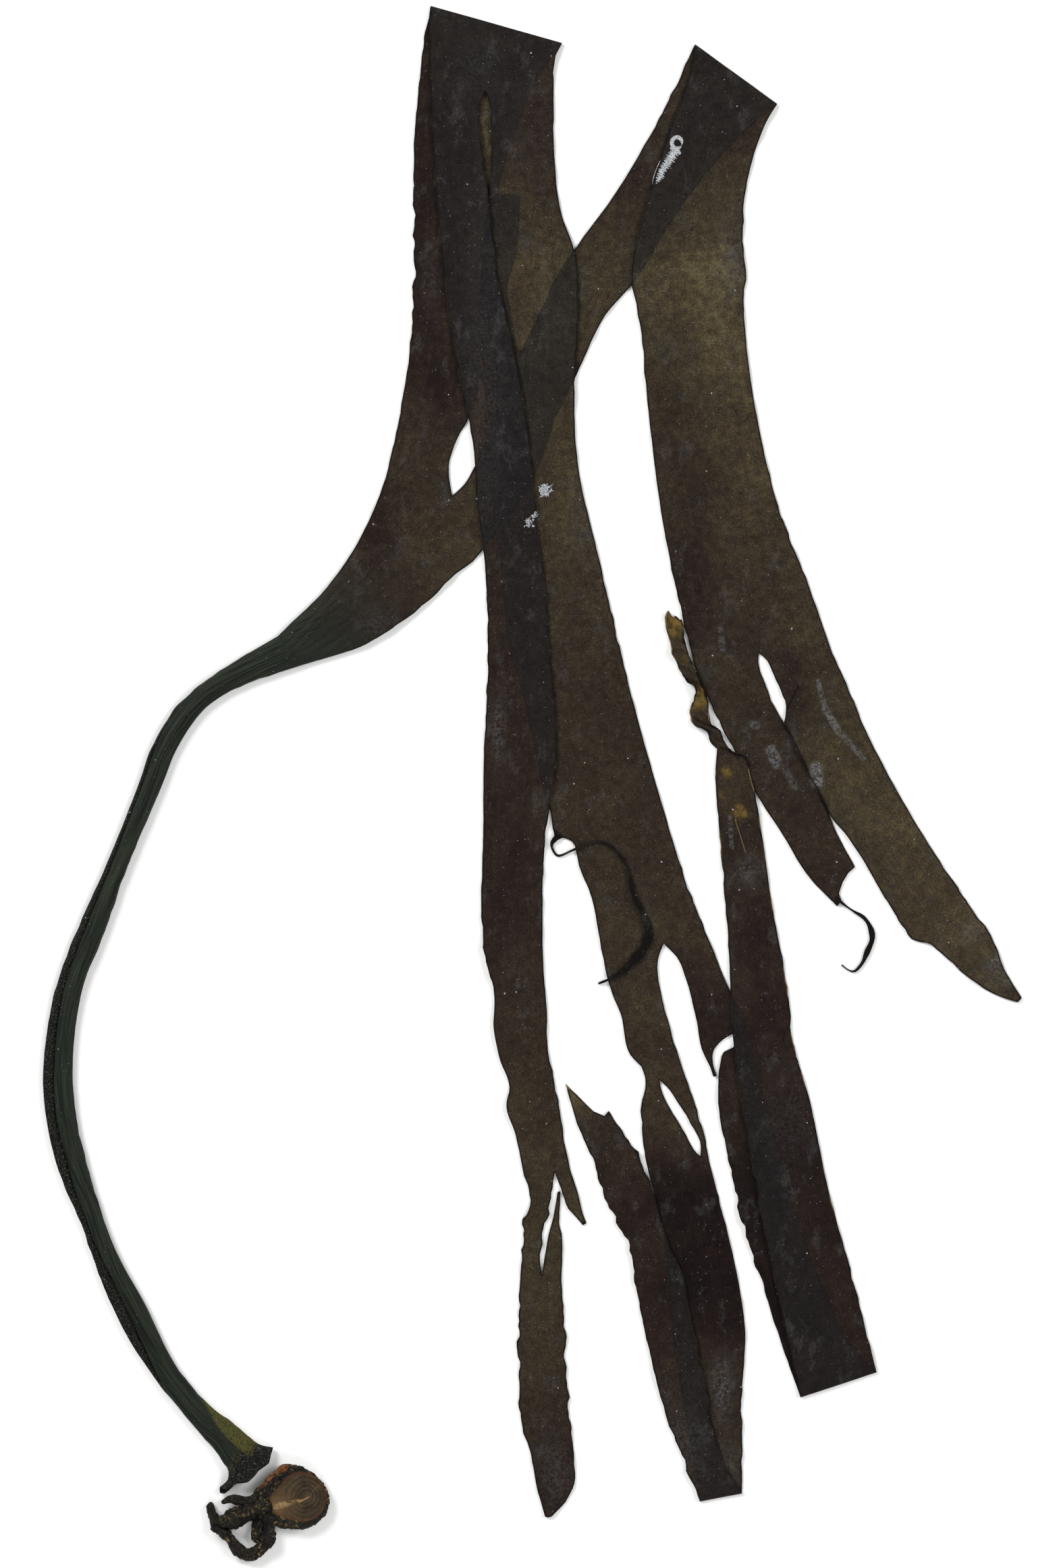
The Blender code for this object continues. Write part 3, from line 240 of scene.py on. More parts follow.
# Right tine of the fork, with a crescent tear from its left edge
CURL_LEFT_UPPER = [(33.5, -41.0), (36.9, -44.5), (39.1, -49.7), (42.0, -61.0)]
CURL_TEAR_TOP = (51.9, -63.6)
CURL_RIGHT_UPPER = [(46.7, -43.8), (48.3, -48.1), (52.8, -58.4), (55.4, -65.0)]
CURL_LEFT_TIP = [(42.0, -61.0), (43.4, -68.4), (45.3, -72.4), (46.2, -75.0)]
CURL_TEAR_UPPER = [CURL_TEAR_TOP, (48.6, -65.6), (46.2, -68.6), (46.2, -72.0), (47.1, -74.8)]
CURL_LEFT_LOWER = [CURL_TEAR_TOP, (51.4, -67.4), (48.8, -68.7), (47.9, -72.2), (47.9, -85.7),
                   (49.8, -94.7), (55.0, -117.1), (57.9, -125.3), (62.1, -138.8),
                   (68.3, -156.5)]
CURL_RIGHT_LOWER = [(55.4, -65.0), (57.9, -75.7), (64.8, -101.6), (73.4, -127.4),
                    (82.1, -144.2), (87.8, -150.1)]

# The same tine folded up again, and its withered, twisted end
RETURN_LEFT = [(68.3, -156.5), (64.8, -140.7), (60.9, -123.1), (57.2, -103.6), (53.3, -82.6),
               (50.9, -61.2), (50.2, -43.6), (48.6, -22.9), (47.2, -5.9), (46.7, 2.8),
               (47.2, 8.8)]
RETURN_RIGHT = [(87.8, -150.1), (86.4, -144.7), (81.4, -125.0), (75.7, -104.3), (70.5, -79.8),
                (66.4, -65.3), (65.5, -55.5), (60.9, -29.1), (59.0, -15.5), (57.2, -4.7),
                (54.5, 6.9)]
WITHERED_LEFT = [(47.2, 8.8), (45.4, 10.6), (44.3, 13.4), (41.6, 14.8), (40.0, 17.4),
                 (41.0, 19.9), (41.5, 23.0), (39.0, 26.8), (36.7, 30.9), (35.2, 35.3),
                 (34.1, 39.6), (33.9, 42.4)]
WITHERED_RIGHT = [(54.5, 6.9), (51.4, 7.8), (49.2, 10.4), (48.0, 13.4), (45.6, 15.0),
                  (45.1, 18.0), (44.8, 21.0), (43.9, 24.0), (42.4, 27.5), (40.5, 31.5),
                  (38.9, 36.5), (38.5, 40.2), (38.1, 41.9)]
WITHERED_TEAR = (0.0, 1.4, 1.9, 0.7, 0.2, 0.8, 0.5, -0.3, 0.0)
WITHERED_CURL = 1.3
WITHERED_CURL_LENGTH = 11.0
WITHERED_CRINKLE = 0.18
WITHERED_CRINKLE_LENGTH = 2.9
WITHERED_START = 4.0

# Right lobe, under the straps, up to the upper right fold
RIGHT_LOBE_LEFT = [(-20.5, 73.4), (-17.4, 76.4), (-14.7, 81.0), (-8.6, 96.0), (-2.8, 110.6),
                   (0.5, 116.9), (5.7, 128.4), (12.2, 138.4), (20.7, 150.0), (28.1, 162.1),
                   (35.2, 175.3), (41.3, 188.4)]
RIGHT_LOBE_RIGHT = [(-12.6, 59.7), (0.5, 78.6), (6.2, 94.1), (11.0, 103.8), (19.7, 121.0),
                    (25.3, 127.2), (34.5, 142.1), (46.0, 157.9), (55.0, 167.3), (62.3, 173.2)]
HIDDEN_TONGUE_ROOT = (-7.0, 99.5)
HIDDEN_TONGUE_LEFT = [(-10.6, 113.0), (-11.4, 126.0), (-11.4, 138.0), (-10.9, 150.1)]
HIDDEN_TONGUE_RIGHT = [(-4.4, 113.5), (-5.6, 120.0), (-6.5, 126.0), (-4.3, 135.0), (-3.2, 150.5)]

# Front of the upper right fold, down to its fork
OUTER_LEFT = [(41.3, 188.4), (40.7, 183.3), (38.6, 176.4), (34.5, 165.3), (30.2, 151.6),
              (26.0, 135.7), (25.3, 128.4), (27.1, 119.5), (29.5, 95.9), (33.3, 66.6),
              (35.9, 53.1), (40.6, 33.2)]
OUTER_FORK = [(43.5, 130.0), (46.0, 85.0), (57.9, 33.2)]
OUTER_RIGHT = [(62.3, 173.2), (60.3, 170.0), (56.9, 161.6), (54.5, 151.6), (53.8, 138.4),
               (54.5, 130.0), (54.0, 123.6), (54.7, 111.9), (57.9, 90.7), (63.3, 69.1),
               (70.3, 51.2), (76.6, 33.2)]

# The two ends of the outer lobe
SHORT_END_LEFT = [(40.6, 33.2), (41.4, 29.7), (44.8, 21.6), (50.0, 11.2), (56.6, -1.9),
                  (63.3, -12.2), (71.2, -24.7), (77.8, -31.4)]
SHORT_END_RIGHT = [(57.9, 33.2), (57.7, 31.2), (58.5, 28.0), (61.5, 20.3), (64.3, 15.2),
                   (66.4, 10.8), (69.2, 5.5), (72.0, 0.0), (74.7, -5.3), (76.7, -10.5),
                   (82.4, -21.4)]
SHORT_END_CUT = (0.0, -1.0, -1.4, -1.1, 0.0)
LONG_END_LEFT = [(57.9, 33.2), (59.7, 31.6), (62.3, 25.8), (64.7, 20.4), (64.8, 18.4),
                 (64.4, 15.3), (66.1, 10.9), (68.9, 5.5), (71.7, 0.0), (74.5, -5.3),
                 (76.4, -8.9), (79.8, -12.8), (83.6, -18.3), (89.0, -27.6), (94.8, -36.9),
                 (96.9, -39.8), (100.5, -40.9), (112.4, -50.5), (119.3, -54.5), (124.0, -56.0)]
LONG_END_RIGHT = [(76.6, 33.2), (80.9, 23.8), (84.3, 15.3), (90.0, 3.8), (100.0, -13.6),
                  (111.0, -30.3), (118.1, -40.9), (120.5, -47.4), (125.0, -54.9)]

# Threads that dried off the edges, along their middle, and where the first grows out
CURLED_THREAD_ROOT = (6.0, -13.0)
CURLED_THREAD = [(4.9, -15.6), (6.2, -18.4), (10.3, -17.1), (14.5, -15.2), (17.9, -15.0),
                 (21.6, -17.6), (24.5, -22.4), (25.7, -28.3), (28.1, -33.6), (29.7, -37.8),
                 (28.6, -41.9), (25.2, -46.0), (21.6, -49.1), (16.9, -51.2)]
LOOSE_THREAD = [(80.4, -31.6), (82.2, -32.8), (84.6, -34.3), (86.3, -36.9), (86.8, -39.5),
                (85.5, -43.1), (83.8, -46.6), (82.1, -48.1), (80.2, -47.4), (79.0, -46.4)]
CURLED_THREAD_WIDTH = 1.9
CURLED_THREAD_LATENESS = 3.0
LOOSE_THREAD_WIDTH = 1.2
LOOSE_THREAD_LATENESS = 1.3
THREAD_THICKNESS = 0.55
# Shares of its width: a thread's thin stretches, what it swells by, its root, how fast that
# narrows, and its small unevenness with the turn of this from row to row
THREAD_LEAST = 0.3
THREAD_SWELL = 0.9
THREAD_ROOT = 0.75
THREAD_ROOT_SLOPE = 6.0
THREAD_SWAY = 0.15
THREAD_SWAY_STEP = 0.9

# Places where an edge dried clear of the surface: middle x, middle y, reach and height
LIFTED_EDGES = {
    "base": [(-36.0, 39.0, 9.0, 0.9), (-22.0, 50.0, 5.0, 0.7)],
    "strap": [(-13.5, -46.0, 7.0, 1.3), (-10.5, -64.0, 6.0, 0.9), (-6.5, -84.0, 4.0, 0.8)],
    "flap": [(23.0, -122.0, 8.0, 0.9), (31.0, -152.0, 7.0, 0.7)],
    "curl": [(53.0, -112.0, 8.0, 0.9), (47.5, -80.0, 5.0, 0.6)],
}

# Tone of each lobe along the specimen: height, and tone from purplish -1 to olive 1
TONES = {
    "stipe": [(-180.0, -0.6), (30.0, -0.4)],
    "base": [(28.0, -1.1), (36.0, -0.7), (48.0, -0.15), (62.0, 0.15), (78.0, 0.05)],
    "left lobe": [(73.0, 0.15), (85.0, 0.0), (110.0, -0.5), (150.0, -0.6), (198.0, -0.5)],
    "right lobe": [(60.0, 0.3), (95.0, 0.2), (125.0, 0.35), (140.0, 0.3), (150.0, 0.0),
                   (188.0, -0.1)],
    "tongue": [(95.0, 0.0), (150.0, 0.0)],
    "front": [(175.0, -0.3), (198.0, -0.2)],
    "middle": [(-45.0, 0.1), (-5.0, -0.05), (30.0, 0.0), (60.0, 0.3), (100.0, 0.35),
               (125.0, 0.42), (145.0, 0.2), (160.0, -0.15), (176.0, -0.4)],
    "tine": [(-183.0, -0.1), (-150.0, -0.2), (-128.0, -1.15), (-100.0, -0.75), (-88.0, 0.1),
             (-60.0, 0.25), (-40.0, 0.1)],
    "curl": [(-156.0, -1.15), (-102.0, -0.95), (-80.0, -0.45), (-55.0, -0.5), (-41.0, -0.1)],
    "outer": [(34.0, 0.0), (60.0, 0.1), (100.0, 0.45), (128.0, 0.75), (145.0, 0.3),
              (165.0, -0.05), (188.0, -0.2)],
    "short end": [(-32.0, -0.3), (0.0, -0.1), (34.0, 0.0)],
    "long end": [(-57.0, 0.45), (0.0, 0.5), (34.0, 0.05)],
    "strap": [(-113.0, 0.25), (-98.0, 0.2), (-70.0, 0.0), (-30.0, -0.4), (50.0, -0.35),
              (178.0, -0.3)],
    "strap foot": [(-188.0, -0.5), (-165.0, -0.2), (-150.0, 0.1), (-125.0, 0.4), (-98.0, 0.3)],
    "flap": [(-183.0, -0.2), (-130.0, -0.6), (-105.0, -0.45), (-88.0, 0.0), (-76.0, 0.5)],
    "returned": [(-157.0, -0.45), (-100.0, -0.75), (-60.0, -0.4), (-20.0, -0.3), (8.0, -0.1)],
    "withered": [(8.0, -0.2), (20.0, 0.1), (45.0, 0.5)],
    "threads": [(-60.0, -1.5), (0.0, -1.5)],
}
# How much more olive the right edge of a lobe is than its left edge
TONE_ACROSS = {"outer": 0.45, "short end": -0.1, "long end": 0.2, "base": 0.35, "strap": 0.1,
               "middle": -0.1, "left lobe": 0.1}
# Places of their own tone: middle x, middle y, reach in x, reach in y and what they add
TONE_SPOTS = {
    # The left lobe's first spot lies in the slit: its own olive colour, lightened further as
    # painted light against the shade of the slit's walls
    "left lobe": [(-11.8, 166.0, 4.0, 16.0, 1.25), (-24.0, 100.0, 4.0, 10.0, -0.3)],
    "base": [(-15.0, 62.0, 6.0, 6.0, 0.25), (-40.0, 66.0, 5.0, 14.0, -0.5)],
    "middle": [(1.0, 128.0, 9.0, 14.0, 0.1), (3.0, 158.0, 3.0, 14.0, -0.15),
               (8.0, 70.0, 3.5, 9.0, 0.3)],
    "outer": [(45.0, 131.0, 6.0, 18.0, 0.2), (42.0, 62.0, 5.0, 22.0, -0.4),
              (36.0, 96.0, 5.5, 18.0, -0.4), (53.0, 128.0, 2.5, 24.0, -0.3)],
    "right lobe": [(27.0, 158.0, 8.0, 12.0, -0.2)],
    "strap": [(-21.0, 150.0, 3.0, 24.0, -0.2)],
    "flap": [(10.0, -80.0, 4.0, 5.0, 0.6)],
    "returned": [(52.0, 0.0, 4.0, 8.0, 0.3), (58.0, -52.0, 3.0, 16.0, -0.3)],
    "long end": [(66.0, 22.0, 4.0, 12.0, -0.5), (122.5, -53.0, 2.2, 2.6, -0.8)],
}
# Pale hazy places: middle x, middle y, reach in x, reach in y and strength
HAZES = {
    "long end": [(111.2, -38.2, 1.4, 3.4, 0.45), (118.0, -45.6, 1.9, 1.7, 0.8),
                 (121.0, -50.6, 0.9, 1.5, 0.7), (119.0, -48.0, 3.5, 4.0, 0.3)],
    "returned": [(55.0, -23.0, 2.6, 3.4, 0.55), (66.0, -86.0, 6.0, 12.0, 0.15)],
    "flap": [(38.0, -170.0, 5.0, 9.0, 0.35)],
    "tine": [(48.4, -154.0, 2.2, 7.0, 0.7), (49.0, -175.0, 4.0, 6.0, 0.4)],
    "strap": [(-8.8, 14.0, 1.4, 9.0, 0.6), (-12.0, 100.0, 5.0, 40.0, 0.15)],
    "strap foot": [(6.0, -176.0, 4.0, 8.0, 0.35)],
    "front": [(-14.0, 184.0, 5.0, 6.0, 0.15), (1.0, 176.0, 3.0, 6.0, 0.15)],
    "middle": [(-3.0, 164.0, 3.0, 9.0, 0.08), (4.0, 166.0, 3.0, 11.0, 0.13),
               (12.0, 66.0, 3.0, 10.0, 0.2)],
    "outer": [(51.0, 134.0, 3.0, 9.0, 0.45)],
    "left lobe": [(-26.0, 128.0, 2.0, 8.0, 0.2)],
    "base": [(-40.0, 40.0, 6.0, 4.0, 0.3)],
}
# Round mottles lie only on the upper lobes, and blotches are weaker on the lower ones: heights
# along the specimen where each begins to grow and is full
MOTTLE_FOOT, MOTTLE_TOP = 75.0, 105.0
BLOTCH_FOOT, BLOTCH_TOP = -20.0, 80.0
CALM_BLOTCH = 0.5
CALM_STAIN = 0.85
# Golden, translucent places, and faint places that only let the painted edge highlights show:
# middle x, middle y, reach to all sides and strength
GOLDS = {
    # On the returned lobe the spot at 53.0, -7.3 is golden tissue with a painted highlight on it,
    # and the faint places of 0.08 to 0.13 stay under the golden look
    "returned": [(49.5, 2.8, 1.3, 0.9), (53.0, -7.3, 1.5, 1.1), (48.0, -3.0, 1.0, 0.5),
                 (52.0, -4.0, 8.0, 0.08), (51.0, -8.0, 14.0, 0.13), (63.0, -38.0, 9.0, 0.13),
                 (66.0, -56.0, 9.0, 0.13), (71.0, -74.0, 9.0, 0.13), (76.0, -92.0, 9.0, 0.13),
                 (80.0, -108.0, 8.0, 0.1)],
    "withered": [(36.0, 41.0, 4.2, 1.0), (42.4, 21.8, 3.8, 0.9), (38.8, 32.0, 3.2, 0.4)],
    "flap": [(9.5, -79.5, 2.5, 0.4)],
}

# Straight marks on the blade. Each: start, end, half width, strength and what it is
MARKS = [
    ((65.1, 19.2), (68.0, 24.9), 0.32, 1.0, "crack"),
    ((64.6, 15.0), (69.2, 5.6), 0.55, 0.8, "crack"),
    ((69.2, 5.6), (74.9, -5.6), 0.60, 0.8, "crack"),
    ((74.9, -5.6), (76.6, -10.2), 0.60, 0.8, "crack"),
    ((72.9, 26.0), (74.8, 18.8), 1.0, 1.0, "haze"),
    ((74.8, 18.8), (78.2, 13.2), 1.3, 1.3, "haze"),
    ((78.2, 13.2), (84.4, 6.6), 1.2, 0.9, "haze"),
    ((72.3, 3.8), (72.7, 0.2), 2.3, 1.8, "haze"),
    ((60.9, 8.4), (62.3, 5.2), 2.1, 1.3, "haze"),
    ((64.6, 3.8), (67.0, -1.0), 1.3, 0.7, "haze"),
    ((56.2, 15.2), (57.3, 14.6), 1.3, 0.8, "haze"),
    ((53.2, 7.0), (56.8, -2.0), 1.7, 0.9, "bare"),
    ((48.0, 39.6), (48.6, 34.4), 1.2, 0.7, "haze"),
    ((50.4, -8.5), (50.9, -16.5), 0.8, 0.7, "haze"),
    ((52.6, -6.0), (51.8, -9.4), 0.16, 0.8, "scratch"),
    ((51.8, -9.4), (54.4, -17.6), 0.16, 0.8, "scratch"),
]

# Holdfast slice: a disc of the old stipe with a ringed face, a wedge-shaped crack and bark
DISC_THICKNESS = 3.0
DISC_OUTLINE = [(-63.2, -173.9), (-60.3, -174.2), (-57.0, -175.6), (-54.2, -178.0),
                (-52.4, -180.8), (-51.9, -183.6), (-52.8, -186.6), (-55.0, -188.9),
                (-57.5, -190.2), (-60.3, -190.5), (-64.0, -189.0), (-67.5, -187.6),
                (-70.4, -186.4), (-71.0, -184.0), (-70.2, -181.4), (-67.6, -178.4),
                (-65.0, -175.4)]
DISC_MIDDLE = (-60.5, -182.5)
DISC_POINTS = 168
# Sections of the disc from the middle of its face round the rim to the middle of its back:
# share of the way out and share of the thickness
DISC_PROFILE = [(0.0, 1.0), (0.06, 1.0), (0.12, 1.0), (0.18, 1.0), (0.24, 1.0), (0.30, 1.0),
                (0.36, 1.0), (0.42, 1.0), (0.48, 1.0), (0.54, 1.0), (0.60, 1.0), (0.66, 1.0),
                (0.72, 1.0), (0.77, 1.0), (0.82, 0.99), (0.86, 1.0), (0.89, 1.03), (0.92, 1.07),
                (0.95, 1.05), (0.98, 0.96), (1.0, 0.80), (1.0, 0.60), (0.99, 0.40),
                (0.98, 0.20), (0.95, 0.06), (0.88, 0.0), (0.55, 0.0), (0.0, 0.0)]
FACE_OUTLINE = [(-61.1, -175.9), (-58.7, -175.7), (-56.2, -176.3), (-53.8, -178.2),
                (-52.5, -180.7), (-52.6, -183.5), (-53.9, -186.3), (-56.7, -188.2),
                (-61.0, -188.2), (-64.5, -187.1), (-68.0, -186.2), (-69.0, -185.0),
                (-68.0, -183.4), (-65.2, -180.2), (-62.9, -177.4)]
RING_MIDDLE = (-57.9, -182.3)
RING_RADII = (1.75, 2.8, 3.8, 5.0)
RING_WANDER = 0.2
RING_WANDER_LENGTH = 7.0
# Fine cracks in the face: start, end, half width and colour
FACE_CRACKS = [
    ((-62.7, -183.4), (-60.8, -183.8), 0.16, (0.010, 0.006, 0.004)),
    ((-60.8, -183.4), (-59.3, -183.7), 0.14, (0.010, 0.006, 0.004)),
    ((-59.6, -183.6), (-57.0, -182.2), 0.24, (0.25, 0.16, 0.06)),
    ((-57.0, -182.2), (-55.6, -180.2), 0.14, (0.085, 0.048, 0.020)),
    ((-55.6, -180.2), (-53.9, -178.9), 0.18, (0.110, 0.050, 0.020)),
]
WEDGE_POINT = (-58.6, -182.9)
WEDGE_MOUTH = (-69.0, -185.4)
WEDGE_POINT_HALF_WIDTH = 0.15
WEDGE_HALF_WIDTH = 1.5
WEDGE_DEPTH = 0.7
# Sections above this share of the thickness and within this share of the way out can be face,
# and those below the last share belong to the back
FRONT_LEVEL = 0.9
FRONT_SHARE = 0.99
BACK_LEVEL = 0.05
# Bark round the slice: where it begins as a share of the way out, over what share it grows, how
# often its knobs change sides down the rim, how far they stand out to the side and upwards, and
# its rise over the face's level
BARK_START = 0.80
BARK_FADE = 0.12
BARK_TURNS = 9.0
BARK_ROUGHNESS = 0.26
BARK_RELIEF = 0.15
BARK_RISE = 0.1
# Waves round the rim: number, shift and share
RIM_WAVES = ((23.0, 0.0, 0.5), (41.0, 1.0, 0.4), (9.0, 0.0, 1.0))
# The cut face: how deep it lies, how soft its border is, and how far paleness reaches
FACE_SINK = 0.25
FACE_BORDER = 0.6
OFF_FACE = -2.0
PALE_REACH = 3.5
# Each branch: its middle line, its radius at both ends and the height of its middle
BRANCHES = [
    ([(-66.6, -183.9), (-72.0, -186.0), (-76.6, -187.7), (-80.4, -188.6)], 2.3, 1.9, 2.2),
    ([(-69.0, -181.6), (-71.6, -183.1), (-74.6, -183.2), (-77.0, -182.7), (-79.4, -183.7)],
     1.3, 0.8, 2.6),
    ([(-79.9, -190.2), (-81.4, -187.8), (-82.2, -185.5), (-82.1, -183.6)], 1.4, 0.9, 1.3),
    ([(-66.8, -186.4), (-67.2, -190.0), (-67.7, -193.5), (-69.9, -195.9), (-72.3, -196.9),
      (-75.1, -195.7), (-77.4, -192.9), (-79.8, -190.7), (-82.2, -190.2)], 1.8, 1.1, 1.9),
    ([(-69.6, -187.8), (-70.6, -190.2), (-70.7, -192.2), (-69.6, -194.0)], 1.1, 0.8, 1.3),
    ([(-69.0, -187.0), (-66.0, -188.0), (-63.0, -189.2), (-60.0, -189.8)], 1.5, 0.9, 1.9),
    ([(-62.4, -174.9), (-65.8, -177.6), (-68.8, -180.4), (-71.0, -182.4)], 0.9, 1.1, 2.6),
    ([(-73.0, -196.8), (-72.8, -197.8), (-72.3, -198.4)], 0.3, 0.12, 1.0),
]
RUSSET_BRANCH = ([(-62.2, -174.2), (-65.4, -176.4), (-68.3, -178.9), (-70.2, -180.9)],
                 0.9, 0.6, 2.9)
BRANCH_POINT_SPACING = 0.28
BRANCH_SIDES = 28
BRANCH_CLEARANCE = 0.1
BRANCH_KNOBS = 0.33
# Rounded ends of a branch: how fast its section grows with each ring, and where that starts
BRANCH_END_SLOPE = 0.22
BRANCH_END_SHARE = 0.1
BRANCH_LOWEST = 0.02

# Olive place along the right side of the stipe's foot
OLIVE_PATCH_LINE = ((-85.5, -156.4), (-70.3, -169.9))
OLIVE_PATCH_HALF_WIDTH = 3.0
OLIVE_PATCH_EDGE = 0.5
# How many times over its length the patch would reach its width, begin and end
OLIVE_PATCH_WIDENING = 1.6
OLIVE_PATCH_START = 6.0
OLIVE_PATCH_END = 12.0

# White crusts that grew on the blade: a coiled head with a tail, and lacy patches
CRUST_HEAD = (36.9, 163.6)
CRUST_HEAD_RADIUS = 1.3
CRUST_HEAD_WIDTH = 0.5
CRUST_HEAD_TURN = (-0.4, 2.0 * math.pi - 0.5)
CRUST_HEAD_POINTS = 30
CRUST_TAIL = [(37.1, 162.4), (36.3, 161.3), (35.3, 159.8), (34.3, 158.2), (33.3, 156.7),
              (32.6, 155.1), (31.3, 153.0)]
# Half width of the whole tail along its length, and of its solid middle as a share of it
CRUST_TAIL_WIDTHS = (1.5, 1.6, 1.5, 1.3, 1.15, 1.0, 0.15)
CRUST_CORE = 0.42
CRUST_SLIP = [(32.7, 159.3), (31.7, 156.9), (30.9, 154.6), (30.6, 153.0)]
CRUST_HEIGHT = 0.10
CRUST_LIFT = 0.03
CRUST_SIDES = 6
CRUST_RIBS = 19
CRUST_RIB_WIDTH = 0.2
# Uneven ribs: shares of the tail's half width, of the step between ribs and of a rib's width
RIB_REACHES = (0.75, 1.1)
RIB_SLANTS = (-0.2, 0.5)
RIB_WIDTHS = (0.7, 1.2)
CRUST_PATCHES = [
    # Middle, reach in millimetres and number of short crests
    ((3.2, 74.9), 1.5, 90),
    ((-0.9, 66.4), 1.1, 30),
    ((0.2, 68.3), 0.7, 14),
]
CRUST_CREST_LENGTH = 1.2
CRUST_CREST_WIDTH = 0.12
# Uneven crests: shares of their length and width, and how far they bow in millimetres
CREST_LENGTHS = (0.3, 1.0)
CREST_WIDTHS = (0.6, 1.5)
CREST_BOW = 0.3
CRUST_SEED = 7

LOOKS = ("tone", "haze", "gold", "stem", "flange")


def smoothstep(value):
    """Turns 0 to 1 into a curve that leaves and arrives level."""
    held = np.clip(value, 0.0, 1.0)
    return held * held * (3.0 - 2.0 * held)


def swell(x, y, length, seed=0.0):
    """Soft uneven swellings from -1 to 1: two crossed sine waves, each bent by the other."""
    turn = 2.0 * math.pi / length
    first = np.sin(turn * x + 1.3 * np.sin(0.71 * turn * y + seed))
    second = np.sin(0.83 * turn * y + 1.7 * np.sin(0.61 * turn * x + 2.0 * seed))
    return (first + second) / 2.0


def bell(x, y, middle_x, middle_y, reach_x, reach_y):
    """A soft hill round a place, 1 in its middle and nearly 0 two reaches away."""
    return np.exp(-(((x - middle_x) / reach_x) ** 2 + ((y - middle_y) / reach_y) ** 2))


def way_along(points):
    """How far each point of a line lies along it."""
    steps = np.linalg.norm(np.diff(np.array(points, float), axis=0), axis=1)
    return np.concatenate(([0.0], np.cumsum(steps)))


def smooth_line(points, count):
    """A smooth line through the points, cut into count equal lengths.

    Each span is a cubic curve, whose slope at a point is the mean of the straight slopes to both
    sides, weighted towards the shorter one.
    """
    knots = np.array(points, float)
    place = way_along(knots)
    chord = np.diff(place)
    slope = np.diff(knots, axis=0) / chord[:, None]
    weighted = slope[:-1] * chord[1:, None] + slope[1:] * chord[:-1, None]
    inner = weighted / (chord[:-1] + chord[1:])[:, None]
    tangent = np.vstack((slope[:1], inner, slope[-1:]))
    fine = np.linspace(0.0, place[-1], SAMPLES_PER_KNOT * len(knots))
    span = np.clip(np.searchsorted(place, fine, side="right") - 1, 0, len(chord) - 1)
    step = chord[span][:, None]
    t = ((fine - place[span]) / chord[span])[:, None]
    dense = (2 * t**3 - 3 * t**2 + 1) * knots[span] + (3 * t**2 - 2 * t**3) * knots[span + 1]
    dense += step * ((t**3 - 2 * t**2 + t) * tangent[span] + (t**3 - t**2) * tangent[span + 1])
    length = way_along(dense)
    even = np.linspace(0.0, length[-1], count + 1)
    return np.column_stack([np.interp(even, length, dense[:, axis])
                            for axis in range(knots.shape[1])])


def sideways(line):
    """The unit vectors that point to the left of a line on the plane."""
    along = np.gradient(line[:, :2], axis=0)
    along /= np.linalg.norm(along, axis=1)[:, None]
    return np.column_stack((-along[:, 1], along[:, 0]))


def waved(line, height):
    """The line with small waves to its sides, a sum of sines that dies out at both ends."""
    along = way_along(line)
    seed = line[0, 0] * 0.37 + line[0, 1] * 0.61
    wave = sum(share * np.sin(2.0 * math.pi * along / length + seed * (1.0 + length))
               for length, share in EDGE_WAVE_LENGTHS)
    wave *= EDGE_WAVE_CALM + EDGE_WAVE_BURST * np.sin(along / EDGE_WAVE_CHANGE + seed) ** 4
    ends = smoothstep(np.minimum(along, along[-1] - along) / EDGE_WAVE_LENGTHS[1][0])
    return line + sideways(line) * (height * wave * ends)[:, None]


def between(first, second, part, whole):
    """The point that lies part / whole of the way from first to second."""
    share = part / whole
    return tuple(a + (b - a) * share for a, b in zip(first, second))


class Strip:
    """A grid of points of one lobe, with its flow, thickness and looks at each point.

    The flow is how far a point lies along and across its lobe, in millimetres.
    """

    def __init__(self, flat, flow, thickness=SHEET_THICKNESS):
        self.grid = np.concatenate((flat, np.zeros(flat.shape[:2] + (1,))), axis=2)
        self.flow = flow
        self.thickness = np.full(flat.shape[:2], thickness)
        self.looks = {name: np.zeros(flat.shape[:2]) for name in LOOKS}

    def outline(self):
        """The four edges of the grid as one closed line."""
        flat = self.grid[:, :, :2]
        return np.concatenate((flat[0, :-1], flat[:-1, -1], flat[-1, :0:-1], flat[:0:-1, 0]))


def section(guides, columns, row_length=ROW_LENGTH, wave=EDGE_WAVE, start=0.0):
    """Strips between neighbouring edge lines: straight rows of points from line to line.

    Their flow begins at start, so that fibres run on from the lobe before.
    """
    mean_length = sum(way_along(guide)[-1] for guide in guides) / len(guides)
    rows = max(2, round(mean_length / row_length))
    lines = [waved(smooth_line(guide, rows), wave) for guide in guides]
    widths = [np.linalg.norm(right - left, axis=1) for left, right in zip(lines, lines[1:])]
    edge = -sum(widths) / 2.0
    along = start + np.linspace(0.0, mean_length, rows + 1)
    strips = []
    for left, right, count, width in zip(lines, lines[1:], columns, widths):
        share = np.linspace(0.0, 1.0, count + 1)[None, :]
        flat = left[:, None] * (1.0 - share[..., None]) + right[:, None] * share[..., None]
        across = edge[:, None] + width[:, None] * share
        flow = np.stack((np.broadcast_to(along[:, None], across.shape), across), axis=2)
        strips.append(Strip(flat, flow))
        edge = edge + width
    return strips


